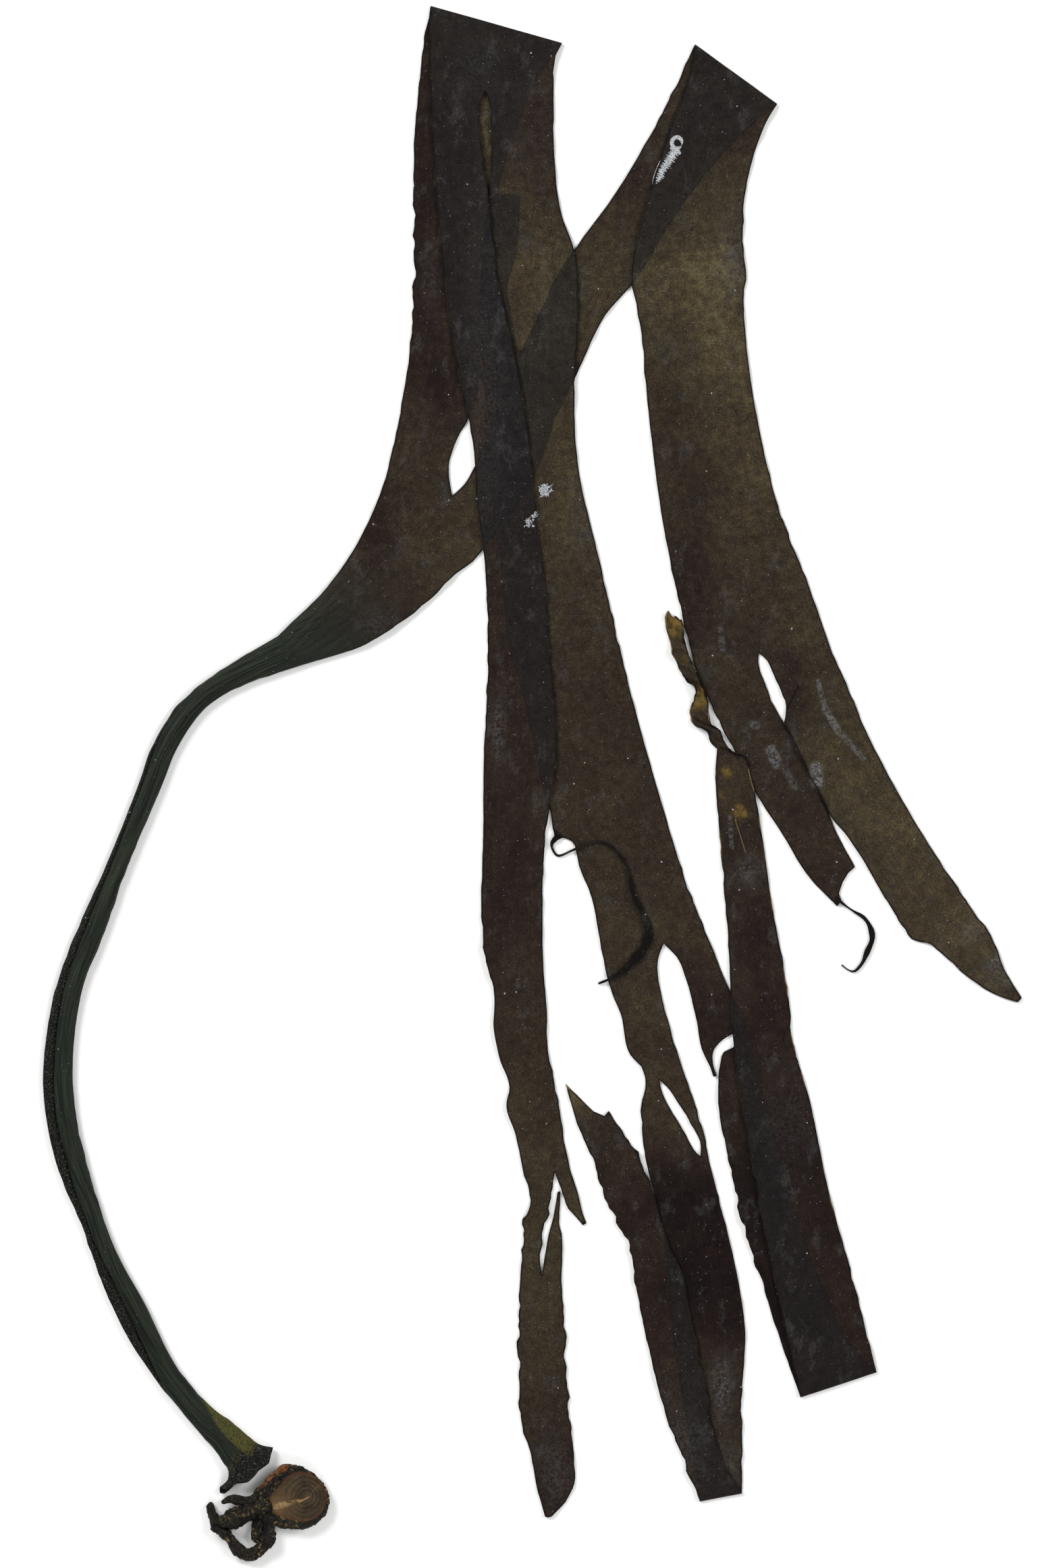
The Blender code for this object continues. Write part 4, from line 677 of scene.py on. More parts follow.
def shape_row(strip, profile, row, reach):
    """Moves an end row along the lobe by a profile, which fades out over reach rows."""
    grid = strip.grid
    step = 1 if row == 0 else -1
    away = grid[row] - grid[row + step]
    away /= np.linalg.norm(away, axis=1)[:, None]
    places = np.linspace(0.0, 1.0, len(profile))
    offset = np.interp(np.linspace(0.0, 1.0, grid.shape[1]), places, profile)[:, None] * away
    for index in range(reach):
        grid[row + step * index] += offset * (1.0 - index / reach)


def root_on(strip, edge, reach):
    """Lays the first row of a strip on the points of an edge, and fades that out over rows."""
    offset = edge - strip.grid[0]
    offset[:, 2] = 0.0
    for index in range(reach):
        strip.grid[index] += offset * (1.0 - index / reach) ** 2


def refine(grid, steps):
    """The same surface with each quad cut into steps by steps."""
    for axis in (0, 1):
        cuts = np.linspace(0.0, grid.shape[axis] - 1.0, (grid.shape[axis] - 1) * steps + 1)
        low = np.minimum(cuts.astype(int), grid.shape[axis] - 2)
        share = (cuts - low)[:, None, None] if axis == 0 else (cuts - low)[None, :, None]
        first = np.take(grid, low, axis=axis)
        second = np.take(grid, low + 1, axis=axis)
        grid = first * (1.0 - share) + second * share
    return grid


def spread_map(heights, spread, soften):
    """Widens every raised place by spread cells, then softens its rim by soften cells."""
    for reach, combine in ((spread, np.maximum), (soften, np.add)):
        for axis in (0, 1):
            total = heights.copy()
            for shift in range(1, reach + 1):
                total = combine(total, np.roll(heights, shift, axis))
                total = combine(total, np.roll(heights, -shift, axis))
            heights = total / (2 * reach + 1) if combine is np.add else total
    return heights


def read_map(heights, x, y):
    """The height map's value at points, mixed from the four cells round each."""
    column = x / MAP_CELL + MAP_HALF_WIDTH
    row = y / MAP_CELL + MAP_HALF_HEIGHT
    left, low = column.astype(int), row.astype(int)
    u, v = column - left, row - low
    near = heights[low, left] * (1 - u) + heights[low, left + 1] * u
    far = heights[low + 1, left] * (1 - u) + heights[low + 1, left + 1] * u
    return near * (1 - v) + far * v


def add_to_map(heights, strips):
    """Raises the height map by one layer over everything that the strips cover."""
    for strip in strips:
        fine = refine(strip.grid, MAP_CUTS_PER_QUAD).reshape(-1, 3)
        column = np.round(fine[:, 0] / MAP_CELL).astype(int) + MAP_HALF_WIDTH
        row = np.round(fine[:, 1] / MAP_CELL).astype(int) + MAP_HALF_HEIGHT
        np.maximum.at(heights, (row, column), fine[:, 2] - SHEET_THICKNESS / 2 + LAYER_PITCH)


def lay(strips, heights, spread=SPREAD, soften=SOFTEN):
    """Lets strips down onto what the height map holds, with soft buckles of their own."""
    soft = spread_map(heights, spread, soften)
    for strip in strips:
        x, y = strip.grid[:, :, 0], strip.grid[:, :, 1]
        buckle = BUCKLE_HEIGHT * (1.0 + swell(x, y, BUCKLE_LENGTH)) / 2.0
        strip.grid[:, :, 2] = SHEET_THICKNESS / 2 + read_map(soft, x, y) + buckle


def rise_from(strip, start_heights, rise_length):
    """Joins a laid strip to a first row of given heights by a soft slope of rise_length."""
    down = way_along(strip.grid.mean(axis=1)[:, :2])
    share = smoothstep(down / rise_length)[:, None]
    strip.grid[:, :, 2] = start_heights + (strip.grid[:, :, 2] - start_heights) * share


def lift_edges(name, strips):
    """Raises the named lobe smoothly round each place where its edge stands clear."""
    for middle_x, middle_y, reach, height in LIFTED_EDGES[name]:
        for strip in strips:
            x, y = strip.grid[:, :, 0], strip.grid[:, :, 1]
            strip.grid[:, :, 2] += height * bell(x, y, middle_x, middle_y, reach, reach)


def joined(rows):
    """Neighbouring rows as one: each begins with the point that ends the one before."""
    return np.concatenate([rows[0]] + [row[1:] for row in rows[1:]])


def folded(lower, upper, inside):
    """The half-round bend from a row to the same row one layer higher, away from inside."""
    lower_row = joined([strip.grid[-1] for strip in lower])
    upper_row = joined([strip.grid[0] for strip in upper])
    middle = (lower_row + upper_row) / 2
    radius = (upper_row[:, 2] - lower_row[:, 2])[:, None] / 2
    along = lower_row[-1] - lower_row[0]
    outward = np.array((along[1], -along[0], 0.0)) / math.hypot(along[0], along[1])
    if np.dot(outward[:2], np.array(inside) - lower_row.mean(axis=0)[:2]) > 0:
        outward = -outward
    angles = np.linspace(-math.pi / 2, math.pi / 2, FOLD_STEPS + 1)[:, None, None]
    up = np.array((0.0, 0.0, 1.0))
    grid = middle + radius * (outward * np.cos(angles) + up * np.sin(angles))
    flow = joined([strip.flow[-1] for strip in lower])
    bend = Strip(grid[:, :, :2], np.broadcast_to(flow, grid.shape[:2] + (2,)))
    bend.grid = grid
    share = np.linspace(0.0, 1.0, FOLD_STEPS + 1)[:, None]
    for name in LOOKS:
        below = joined([strip.looks[name][-1] for strip in lower])
        above = joined([strip.looks[name][0] for strip in upper])
        bend.looks[name] = below * (1.0 - share) + above * share
    return bend


def thread(path, width, lateness, root):
    """A narrow ribbon along a path, which grows out of the points of root.

    The later it swells, the nearer to its end it is widest.
    """
    start = tuple(root.mean(axis=0)[:2])
    middle = smooth_line([start] + path, round(way_along(path)[-1] / FINE_ROW_LENGTH))
    way = np.linspace(0.0, 1.0, len(middle))
    swollen = np.sin(math.pi * np.clip(way**lateness * 1.1, 0.0, 1.0)) ** 1.5
    root_taper = THREAD_ROOT - THREAD_ROOT_SLOPE * way
    taper = np.maximum(THREAD_LEAST + THREAD_SWELL * swollen, root_taper)
    sway = 1.0 + THREAD_SWAY * np.sin(np.arange(len(middle)) * THREAD_SWAY_STEP)
    half = sideways(middle) * (width / 2 * taper * sway)[:, None]
    share = np.linspace(1.0, -1.0, THREAD_COLUMNS + 1)[None, :, None]
    flat = middle[:, None] + half[:, None] * share
    if np.dot(half[0], (root[-1] - root[0])[:2]) > 0:
        root = root[::-1]
    along = np.arange(len(middle)) * FINE_ROW_LENGTH
    across = share[:, :, 0] * width / 2
    flow = np.stack(np.broadcast_arrays(along[:, None], across), axis=2)
    strip = Strip(flat, flow, THREAD_THICKNESS)
    strip.grid[0] = root
    return strip


def shape_stipe(strip):
    """Gives the stipe its section: an oval body with a crease and ridges beside a thin flange."""
    share = np.linspace(0.0, 1.0, strip.grid.shape[1])[None, :]
    y = strip.grid[:, :, 1].mean(axis=1)[:, None]
    heights, places = np.array(FURROW).T
    place = np.interp(y, heights, places)
    body_share = np.clip((share - place) / (1.0 - place), 0.0, 1.0)
    flange_share = np.clip(share / place, 0.0, 1.0)
    oval = np.sqrt(1.0 - (2.0 * body_share - 1.0) ** 2)
    crease = CREASE_DEPTH * np.exp(-((body_share - CREASE_SHARE) / CREASE_WIDTH) ** 2)
    foot = smoothstep((RIDGE_FOOT - y) / RIDGE_FADE)
    drift = 2.0 * np.sin(y / RIDGE_DRIFT)
    ridges = RIDGE_HEIGHT * np.sin(share * RIDGE_TURNS + drift) * (1.0 - foot)
    body = (STIPE_THICKNESS - crease + ridges - RIDGE_HEIGHT) * oval
    flange = FLANGE_THICKNESS * np.sqrt(np.clip(np.sin(flange_share * math.pi), 0.0, 1.0))
    thickness = np.maximum(body, flange)
    strip.thickness = np.maximum(thickness, STIPE_EDGE_THICKNESS)
    strip.grid[:, :, 2] = (STIPE_THICKNESS + strip.thickness) / 4.0
    strip.looks["stem"][:] = 1.0
    flange = smoothstep((place - share) / SEAM_SHARE + 0.5) * np.minimum(place * 8.0, 1.0)
    toe = smoothstep((TOE_TOP - y + TOE_SLANT * (share - 0.6)) / TOE_FADE)
    strip.looks["flange"] = np.maximum(flange, toe)


def dress(name, strips):
    """Gives the strips of a lobe their tone, hazy places and golden places."""
    heights, tones = np.array(TONES[name]).T
    widest = max(np.abs(strip.flow[:, :, 1]).max() for strip in strips)
    for strip in strips:
        x, y = strip.grid[:, :, 0], strip.grid[:, :, 1]
        strip.looks["tone"] = np.interp(y, heights, tones)
        strip.looks["tone"] += TONE_ACROSS.get(name, 0.0) * strip.flow[:, :, 1] / (2 * widest)
        for look, places in (("tone", TONE_SPOTS), ("haze", HAZES), ("gold", GOLDS)):
            for middle_x, middle_y, *reach, strength in places.get(name, ()):
                spot = bell(x, y, middle_x, middle_y, reach[0], reach[-1])
                strip.looks[look] += strength * spot
    return strips


def nearest_row(strip, column, place, count):
    """The run of count edges along a column of a strip that starts nearest to a place."""
    edge = strip.grid[:, column]
    first = int(np.argmin(np.linalg.norm(edge[:, :2] - place, axis=1)))
    return edge[first:first + count + 1]


def build_lobes():
    """All strips of the thallus with the layer that each lies in, and the final height map."""
    lobes = []

    # Lowest layer: stipe, base, the two lobes behind and the short hidden tongue
    stipe = section([STIPE_OUTER, STIPE_INNER], [STIPE_COLUMNS], wave=STIPE_EDGE_WAVE)
    shape_row(stipe[0], CUT_BULGE, 0, CUT_FADE_ROWS)
    shape_stipe(stipe[0])
    parting_start = between(STIPE_OUTER[-1], STIPE_INNER[-1], LEFT_LOBE_COLUMNS, STIPE_COLUMNS)
    base = section([BASE_OUTER, [parting_start] + BASE_PARTING, BASE_INNER],
                   [LEFT_LOBE_COLUMNS, RIGHT_LOBE_COLUMNS])
    left_lobe = section([LEFT_LOBE_OUTER, LEFT_LOBE_INNER], [LEFT_LOBE_COLUMNS],
                        wave=ROUGH_EDGE_WAVE, start=60.0)
    right_lobe = section([RIGHT_LOBE_LEFT, RIGHT_LOBE_RIGHT], [RIGHT_LOBE_COLUMNS], start=60.0)
    root = nearest_row(right_lobe[0], 0, HIDDEN_TONGUE_ROOT, TONGUE_COLUMNS)
    tongue = section([[tuple(root[0, :2])] + HIDDEN_TONGUE_LEFT,
                      [tuple(root[-1, :2])] + HIDDEN_TONGUE_RIGHT], [TONGUE_COLUMNS])
    root_on(tongue[0], root, ROOT_FADE_ROWS)
    behind = left_lobe + right_lobe + tongue
    heights = np.zeros((2 * MAP_HALF_HEIGHT, 2 * MAP_HALF_WIDTH))
    lay(base + behind, heights)
    swollen = 1.0 - smoothstep(np.linspace(0.0, 1.0, base[0].grid.shape[0]))[:, None]
    first_column = 0
    for strip in base:
        columns = slice(first_column, first_column + strip.grid.shape[1])
        stem_thickness = stipe[0].thickness[-1, columns]
        stem_height = stipe[0].grid[-1, columns, 2]
        strip.thickness += (stem_thickness - SHEET_THICKNESS) * swollen**2
        strip.grid[:, :, 2] += (stem_height - strip.grid[:, :, 2]) * swollen**2
        strip.looks["stem"] = swollen ** 3 * np.ones(strip.grid.shape[1])
        first_column += strip.grid.shape[1] - 1
    for name, strips in (("base", base), ("left lobe", left_lobe), ("right lobe", right_lobe),
                         ("tongue", tongue), ("stipe", stipe)):
        lobes.append((BOTTOM, dress(name, strips)))
    lift_edges("base", base)
    add_to_map(heights, base + behind)

    # Next layer: the middle lobe with its two tines, and the outer lobe with its short end
    slit_start = between(LEFT_LOBE_OUTER[-1], LEFT_LOBE_INNER[-1], STRAP_COLUMNS,
                         LEFT_LOBE_COLUMNS)
    front = section([FRONT_OUTER, [slit_start, SLIT_TOP], FRONT_INNER],
                    [STRAP_COLUMNS, MIDDLE_COLUMNS])
    fork_start = between(SLIT_TOP, MIDDLE_RIGHT[0], SPLIT_COLUMNS, MIDDLE_COLUMNS)
    middle = section([MIDDLE_LEFT, [fork_start] + MIDDLE_FORK, MIDDLE_RIGHT],
                     [SPLIT_COLUMNS, CURL_COLUMNS], start=22.0)
    half_split = SPLIT_COLUMNS // 2
    crack_start = between(TINE_LEFT_UPPER[0], TINE_RIGHT_UPPER[0], 1, 2)
    crack_end = between(TINE_LEFT_LOWER[-1], TINE_RIGHT_LOWER[-1], 1, 2)
    tine = section([TINE_LEFT_UPPER, [crack_start, CRACK_TOP], TINE_RIGHT_UPPER],
                   [half_split, half_split], start=240.0)
    tine += section([TINE_LEFT_CRACKED, CRACK_LEFT], [half_split], start=274.0)
    tine += section([CRACK_RIGHT, TINE_RIGHT_CRACKED], [half_split], start=274.0)
    tine_lower = section([TINE_LEFT_LOWER, TINE_MIDDLE_LOWER + [crack_end], TINE_RIGHT_LOWER],
                         [half_split, half_split], start=300.0)
    torn_columns = CURL_COLUMNS // 3
    tear_start = between(CURL_LEFT_UPPER[0], CURL_RIGHT_UPPER[0], 1, 3)
    curl = section([CURL_LEFT_UPPER, [tear_start, CURL_TEAR_TOP], CURL_RIGHT_UPPER],
                   [torn_columns, CURL_COLUMNS - torn_columns], start=240.0)
    curl += section([CURL_LEFT_TIP, CURL_TEAR_UPPER], [torn_columns], FINE_ROW_LENGTH)
    curl_lower = section([CURL_LEFT_LOWER, CURL_RIGHT_LOWER], [CURL_COLUMNS - torn_columns],
                         wave=ROUGH_EDGE_WAVE, start=264.0)
    outer_start = between(RIGHT_LOBE_LEFT[-1], RIGHT_LOBE_RIGHT[-1], 1, 2)
    half_outer = RIGHT_LOBE_COLUMNS // 2
    outer = section([OUTER_LEFT, [outer_start] + OUTER_FORK, OUTER_RIGHT],
                    [half_outer, half_outer])
    short_end = section([SHORT_END_LEFT, SHORT_END_RIGHT], [half_outer], start=152.0)
    shape_row(short_end[0], SHORT_END_CUT, -1, TEAR_FADE_ROWS)
    long_end = section([LONG_END_LEFT, LONG_END_RIGHT], [half_outer], start=152.0)
    second_layer = front + middle + tine + tine_lower + curl + curl_lower + outer + short_end
    lay(second_layer, heights)
    lift_edges("curl", curl_lower)
    for name, strips in (("front", front), ("middle", middle), ("tine", tine + tine_lower),
                         ("curl", curl + curl_lower), ("outer", outer),
                         ("short end", short_end)):
        lobes.append((SECOND, dress(name, strips)))
    lobes.append((BEND, [folded(left_lobe, front, SLIT_TOP),
                         folded(right_lobe, outer, OUTER_FORK[0])]))
    add_to_map(heights, second_layer)

    # Top layer: the strap, the two folded-up tines, the withered end and the long end
    strap = section([STRAP_LEFT, STRAP_RIGHT], [STRAP_COLUMNS], start=22.0)
    notch = between(STRAP_LEFT[-1], STRAP_RIGHT[-1], 2, 3)
    tab_columns = STRAP_COLUMNS // 3
    foot_columns = STRAP_COLUMNS - tab_columns
    strap_foot = section([STRAP_WAIST_LEFT, [notch] + STRAP_WAIST_RIGHT], [foot_columns],
                         wave=ROUGH_EDGE_WAVE, start=304.0)
    strap_foot += section([[notch] + STRAP_TAB_LEFT, STRAP_TAB_RIGHT], [tab_columns],
                          start=304.0)
    strap_foot += section([SLIVER_LEFT, SLIVER_RIGHT], [tab_columns], start=304.0)
    strap_foot += section([STRAP_FOOT_LEFT, STRAP_FOOT_MIDDLE, STRAP_FOOT_RIGHT],
                          [foot_columns, tab_columns], wave=ROUGH_EDGE_WAVE, start=330.0)
    flap = section([FLAP_LEFT, FLAP_RIGHT], [SPLIT_COLUMNS], wave=ROUGH_EDGE_WAVE,
                   start=386.0)
    shape_row(flap[0], FLAP_TEAR, -1, TEAR_FADE_ROWS)
    returned = section([RETURN_LEFT, RETURN_RIGHT], [CURL_COLUMNS - torn_columns], start=364.0)
    withered = section([WITHERED_LEFT, WITHERED_RIGHT], [CURL_COLUMNS - torn_columns],
                       FINE_ROW_LENGTH, wave=ROUGH_EDGE_WAVE, start=532.0)
    shape_row(withered[0], WITHERED_TEAR, -1, TEAR_FADE_ROWS)
    top_layer = strap + strap_foot + flap + returned + withered + long_end
    lay(top_layer, heights)
    rise_from(strap[0], front[0].grid[-1, :, 2], STRAP_RISE_LENGTH)
    rise_from(long_end[0], outer[1].grid[-1, :, 2], END_RISE_LENGTH)
    lift_edges("strap", strap)
    lift_edges("flap", flap)
    curl_up(withered[0])
    for name, strips in (("strap", strap), ("strap foot", strap_foot), ("flap", flap),
                         ("returned", returned), ("withered", withered),
                         ("long end", long_end)):
        lobes.append((TOP, dress(name, strips)))
    lobes.append((BEND, [folded(tine_lower, flap, TINE_LEFT_LOWER[0]),
                         folded(curl_lower, returned, CURL_LEFT_LOWER[0])]))

    # Threads, laid over the second layer and rooted on an edge of it
    threads = [
        thread(CURLED_THREAD, CURLED_THREAD_WIDTH, CURLED_THREAD_LATENESS,
               nearest_row(middle[0], 0, CURLED_THREAD_ROOT, THREAD_COLUMNS)),
        thread(LOOSE_THREAD, LOOSE_THREAD_WIDTH, LOOSE_THREAD_LATENESS,
               short_end[0].grid[-1, :THREAD_COLUMNS + 1]),
    ]
    for strip in threads:
        root_heights = strip.grid[0, :, 2].copy()
        lay([strip], heights, THREAD_SPREAD, THREAD_SOFTEN)
        strip.grid[:, :, 2] += (THREAD_THICKNESS - SHEET_THICKNESS) / 2
        strip.grid[0, :, 2] = root_heights
    lobes.append((THREADS, dress("threads", threads)))
    add_to_map(heights, top_layer)
    return lobes, heights


def curl_up(strip):
    """Raises alternate sides of a withered end, so that it looks twisted and crisp."""
    along = strip.flow[:, :, 0] - strip.flow[0, 0, 0]
    across = np.linspace(-1.0, 1.0, strip.grid.shape[1])[None, :]
    turn = np.sin(2.0 * math.pi * along / WITHERED_CURL_LENGTH)
    fine = np.sin(2.0 * math.pi * along / WITHERED_CRINKLE_LENGTH + 2.0 * across)
    lift = np.clip(across * turn, 0.0, None) + WITHERED_CRINKLE * (1.0 + fine)
    strip.grid[:, :, 2] += WITHERED_CURL * lift * smoothstep(along / WITHERED_START)


def grid_faces(rows, columns, first=0):
    """The corner numbers of the quads between neighbouring rows and columns of a grid."""
    numbers = first + np.arange(rows * columns).reshape(rows, columns)
    corners = (numbers[:-1, :-1], numbers[:-1, 1:], numbers[1:, 1:], numbers[1:, :-1])
    return np.stack(corners, axis=2).reshape(-1, 4)


def set_values(mesh, name, values, domain="POINT", kind="FLOAT"):
    """Stores an array of values in the mesh under a name."""
    layer = mesh.attributes.new(name, kind, domain)
    key = "vector" if kind == "FLOAT_VECTOR" else "value"
    layer.data.foreach_set(key, np.ascontiguousarray(values, float).reshape(-1))


def get_values(mesh, name):
    """Reads an array of values back from the mesh."""
    values = np.empty(len(mesh.attributes[name].data))
    mesh.attributes[name].data.foreach_get("value", values)
    return values


def get_vectors(mesh, kind):
    """The places ("co") or the normals ("normal") of the mesh's points."""
    values = np.empty(len(mesh.vertices) * 3)
    mesh.vertices.foreach_get(kind, values)
    return values.reshape(-1, 3)


def mesh_of_grids(name, grids):
    """One mesh of several grids of points, and the number of quads in each grid."""
    faces = []
    count = 0
    for grid in grids:
        rows, columns = grid.shape[:2]
        faces.append(grid_faces(rows, columns, count))
        count += rows * columns
    points = np.concatenate([grid.reshape(-1, 3) for grid in grids])
    mesh = bpy.data.meshes.new(name)
    mesh.from_pydata(points.tolist(), [], np.concatenate(faces).tolist())
    return mesh, [len(quads) for quads in faces]


def weld(mesh, distance, scale=1.0):
    """Joins points that meet, turns all faces the same way and scales the mesh."""
    work = bmesh.new()
    work.from_mesh(mesh)
    bmesh.ops.remove_doubles(work, verts=work.verts, dist=distance)
    bmesh.ops.recalc_face_normals(work, faces=work.faces)
    bmesh.ops.scale(work, verts=work.verts, vec=(scale, scale, scale))
    work.to_mesh(mesh)
    work.free()


def shade_smooth(mesh, sharp_angle):
    """Smooth shading, but for edges where faces meet at more than the angle in degrees."""
    mesh.polygons.foreach_set("use_smooth", np.ones(len(mesh.polygons), bool))
    mesh.set_sharp_from_angle(angle=math.radians(sharp_angle))


def middle_surface(lobes):
    """One welded mesh through the middle of the sheet, in millimetres, with its looks."""
    layers = [layer for layer, group in lobes for strip in group]
    strips = [strip for layer, group in lobes for strip in group]
    mesh, quads = mesh_of_grids("middle of the sheet", [strip.grid for strip in strips])
    set_values(mesh, "layer", np.repeat(layers, quads), "FACE")
    values = {name: [strip.looks[name] for strip in strips] for name in LOOKS}
    values["thickness"] = [strip.thickness for strip in strips]
    values["along"] = [strip.flow[:, :, 0] for strip in strips]
    values["across"] = [strip.flow[:, :, 1] for strip in strips]
    for name, arrays in values.items():
        set_values(mesh, name, np.concatenate([array.reshape(-1) for array in arrays]))
    weld(mesh, WELD_DISTANCE)
    return mesh


def half_edges(mesh):
    """For every corner of every face: its point, the next point round and its face."""
    starts = np.empty(len(mesh.polygons), np.int64)
    totals = np.empty(len(mesh.polygons), np.int64)
    corners = np.empty(len(mesh.loops), np.int64)
    mesh.polygons.foreach_get("loop_start", starts)
    mesh.polygons.foreach_get("loop_total", totals)
    mesh.loops.foreach_get("vertex_index", corners)
    following = np.arange(len(corners)) + 1
    following[starts + totals - 1] = starts
    return corners, corners[following], np.repeat(np.arange(len(starts)), totals), totals


def edge_distance(points, starts, ends):
    """How far each point lies from the nearest of some straight edges, seen from above."""
    run = ends - starts
    run_squared = np.maximum((run**2).sum(axis=1), NEARLY_NOTHING)
    nearest = np.empty(len(points))
    for low in range(0, len(points), EDGE_BATCH):
        some = points[low:low + EDGE_BATCH, None, :]
        share = np.clip(((some - starts) * run).sum(axis=2) / run_squared, 0.0, 1.0)
        gap = some - (starts + share[:, :, None] * run)
        nearest[low:low + EDGE_BATCH] = np.sqrt((gap**2).sum(axis=2).min(axis=1))
    return nearest


def inside(points, outline):
    """Which points a closed line holds: a ray to +X from them crosses it an odd number of times."""
    held = np.zeros(len(points), bool)
    low, high = outline.min(axis=0), outline.max(axis=0)
    near = np.flatnonzero(((points >= low) & (points <= high)).all(axis=1))
    start, end = outline, np.roll(outline, -1, axis=0)
    rise = end[:, 1] - start[:, 1]
    rise = np.where(rise == 0.0, NEARLY_NOTHING, rise)
    x, y = points[near, :1], points[near, 1:]
    crosses = (start[:, 1] > y) != (end[:, 1] > y)
    crossing_x = start[:, 0] + (y - start[:, 1]) * (end[:, 0] - start[:, 0]) / rise
    held[near] = (crosses & (x < crossing_x)).sum(axis=1) % 2 == 1
    return held


def cover(signed, own, layers):
    """How far points lie inside one and inside two of the layers that aren't their own."""
    others = np.where(own[:, layers], -FAR_INSIDE, signed[:, layers])
    others = np.sort(np.column_stack((np.full(len(others), -FAR_INSIDE), others)), axis=1)
    return others[:, -1], others[:, -2]


def layer_distances(points, lobes, edges, edge_layers):
    """How far each point lies inside (above 0) or outside each of the three layers."""
    columns = []
    for layer in (BOTTOM, SECOND, TOP):
        own = edges[edge_layers == layer]
        distance = edge_distance(points, points[own[:, 0]], points[own[:, 1]])
        held = np.zeros(len(points), bool)
        for lobe_layer, strips in lobes:
            if lobe_layer == layer:
                for strip in strips:
                    held |= inside(points, strip.outline())
        columns.append(np.where(held, distance, -distance))
    return np.stack(columns, axis=1)


def thallus_object(lobes):
    """The whole plant as a closed sheet with thickness, and what its finish reads."""
    middle = middle_surface(lobes)
    points, normals = get_vectors(middle, "co"), get_vectors(middle, "normal")
    count = len(points)
    begin, end, face, totals = half_edges(middle)
    forward, backward = begin * count + end, end * count + begin
    free = ~np.isin(forward, backward)
    face_layers = get_values(middle, "layer").astype(int)
    edges = np.stack((begin[free], end[free]), axis=1)
    edge_layers = face_layers[face[free]]

    # How far each point lies inside the other layers, and from its own layer's edge
    signed = layer_distances(points[:, :2], lobes, edges, edge_layers)
    touches = np.zeros((count, THREADS + 1), bool)
    touches[begin, face_layers[face]] = True
    own = touches[:, :TOP + 1]
    bent, threaded = touches[:, BEND], touches[:, THREADS]
    lowest = np.where(own[:, BOTTOM], BOTTOM, np.where(own[:, SECOND], SECOND, TOP))
    highest = np.where(own[:, TOP], TOP, np.where(own[:, SECOND], SECOND, BOTTOM))
    numbers = np.arange(TOP + 1)
    beneath = cover(np.where(numbers < highest[:, None], signed, -FAR_INSIDE), own, numbers)
    over = cover(np.where(numbers > lowest[:, None], signed, -FAR_INSIDE), own, numbers)
    beneath, over = [[np.where(threaded, -FAR_INSIDE, np.where(bent, inner, depth))
                      for depth, inner in zip(depths, (FAR_INSIDE, -FAR_INSIDE))]
                     for depths in (beneath, over)]
    rim = np.where(own, np.abs(signed), FAR_INSIDE).min(axis=1)
    thread_edges = edges[edge_layers == THREADS]
    thread_points = points[threaded][:, :2]
    rim[threaded] = edge_distance(thread_points, points[thread_edges[:, 0], :2],
                                  points[thread_edges[:, 1], :2])

    # Free rims that nothing covers dry into small ruffles
    above = np.where(touches[:, BOTTOM], np.maximum(signed[:, SECOND], signed[:, TOP]),
                     np.where(touches[:, SECOND], signed[:, TOP], -FAR_INSIDE))
    exposed = smoothstep((-above - COVER_MARGIN) / CLEAR_OF_COVER) * ~(bent | threaded)
    along, across = get_values(middle, "along"), get_values(middle, "across")
    stem = get_values(middle, "stem")
    waves = RUFFLE_OFTEN + swell(along, across * RUFFLE_SLANT, RUFFLE_LENGTH, 1.0)
    ruffle = RUFFLE_HEIGHT * np.clip(waves, 0.0, None) * np.exp(-rim / RUFFLE_REACH)
    points[:, 2] += ruffle * exposed * (1.0 - stem)

    # Two shells, half the thickness to either side, and a wall along every free edge
    half = normals * (get_values(middle, "thickness") / 2.0)[:, None]
    shells = np.concatenate((points + half, points - half))
    shells[:, 2] = np.maximum(shells[:, 2], 0.0)
    corner_lists = np.split(begin, np.cumsum(totals)[:-1])
    faces = [corners.tolist() for corners in corner_lists]
    faces += [(corners[::-1] + count).tolist() for corners in corner_lists]
    faces += np.stack((edges[:, 1], edges[:, 0], edges[:, 0] + count, edges[:, 1] + count),
                      axis=1).tolist()
    mesh = bpy.data.meshes.new("thallus_sheet")
    mesh.from_pydata((shells * MM).tolist(), [], faces)
    facing_up = normals[:, 2] > 0.0
    upper = np.concatenate((facing_up, ~facing_up))
    for name, below, above in zip(("once", "twice"), beneath, over):
        set_values(mesh, name, np.where(upper, np.tile(below, 2), np.tile(above, 2)))
    for name, values in [("rim", rim)] + [(name, get_values(middle, name)) for name in LOOKS]:
        set_values(mesh, name, np.tile(values, 2))
    flow = np.stack((along, across, np.zeros(count)), axis=1)
    set_values(mesh, "flow", np.tile(flow, (2, 1)), kind="FLOAT_VECTOR")
    shade_smooth(mesh, SHEET_SHARP_ANGLE)
    mesh.validate()
    bpy.data.meshes.remove(middle)
    return new_object("thallus_sheet", mesh)


def new_object(name, mesh):
    """An object at the origin that shows the mesh."""
    piece = bpy.data.objects.new(name, mesh)
    bpy.context.scene.collection.objects.link(piece)
    return piece


def looped(grid):
    """The grid with its first column again at the end, so that its rows are rings."""
    return np.concatenate((grid, grid[:, :1]), axis=1)


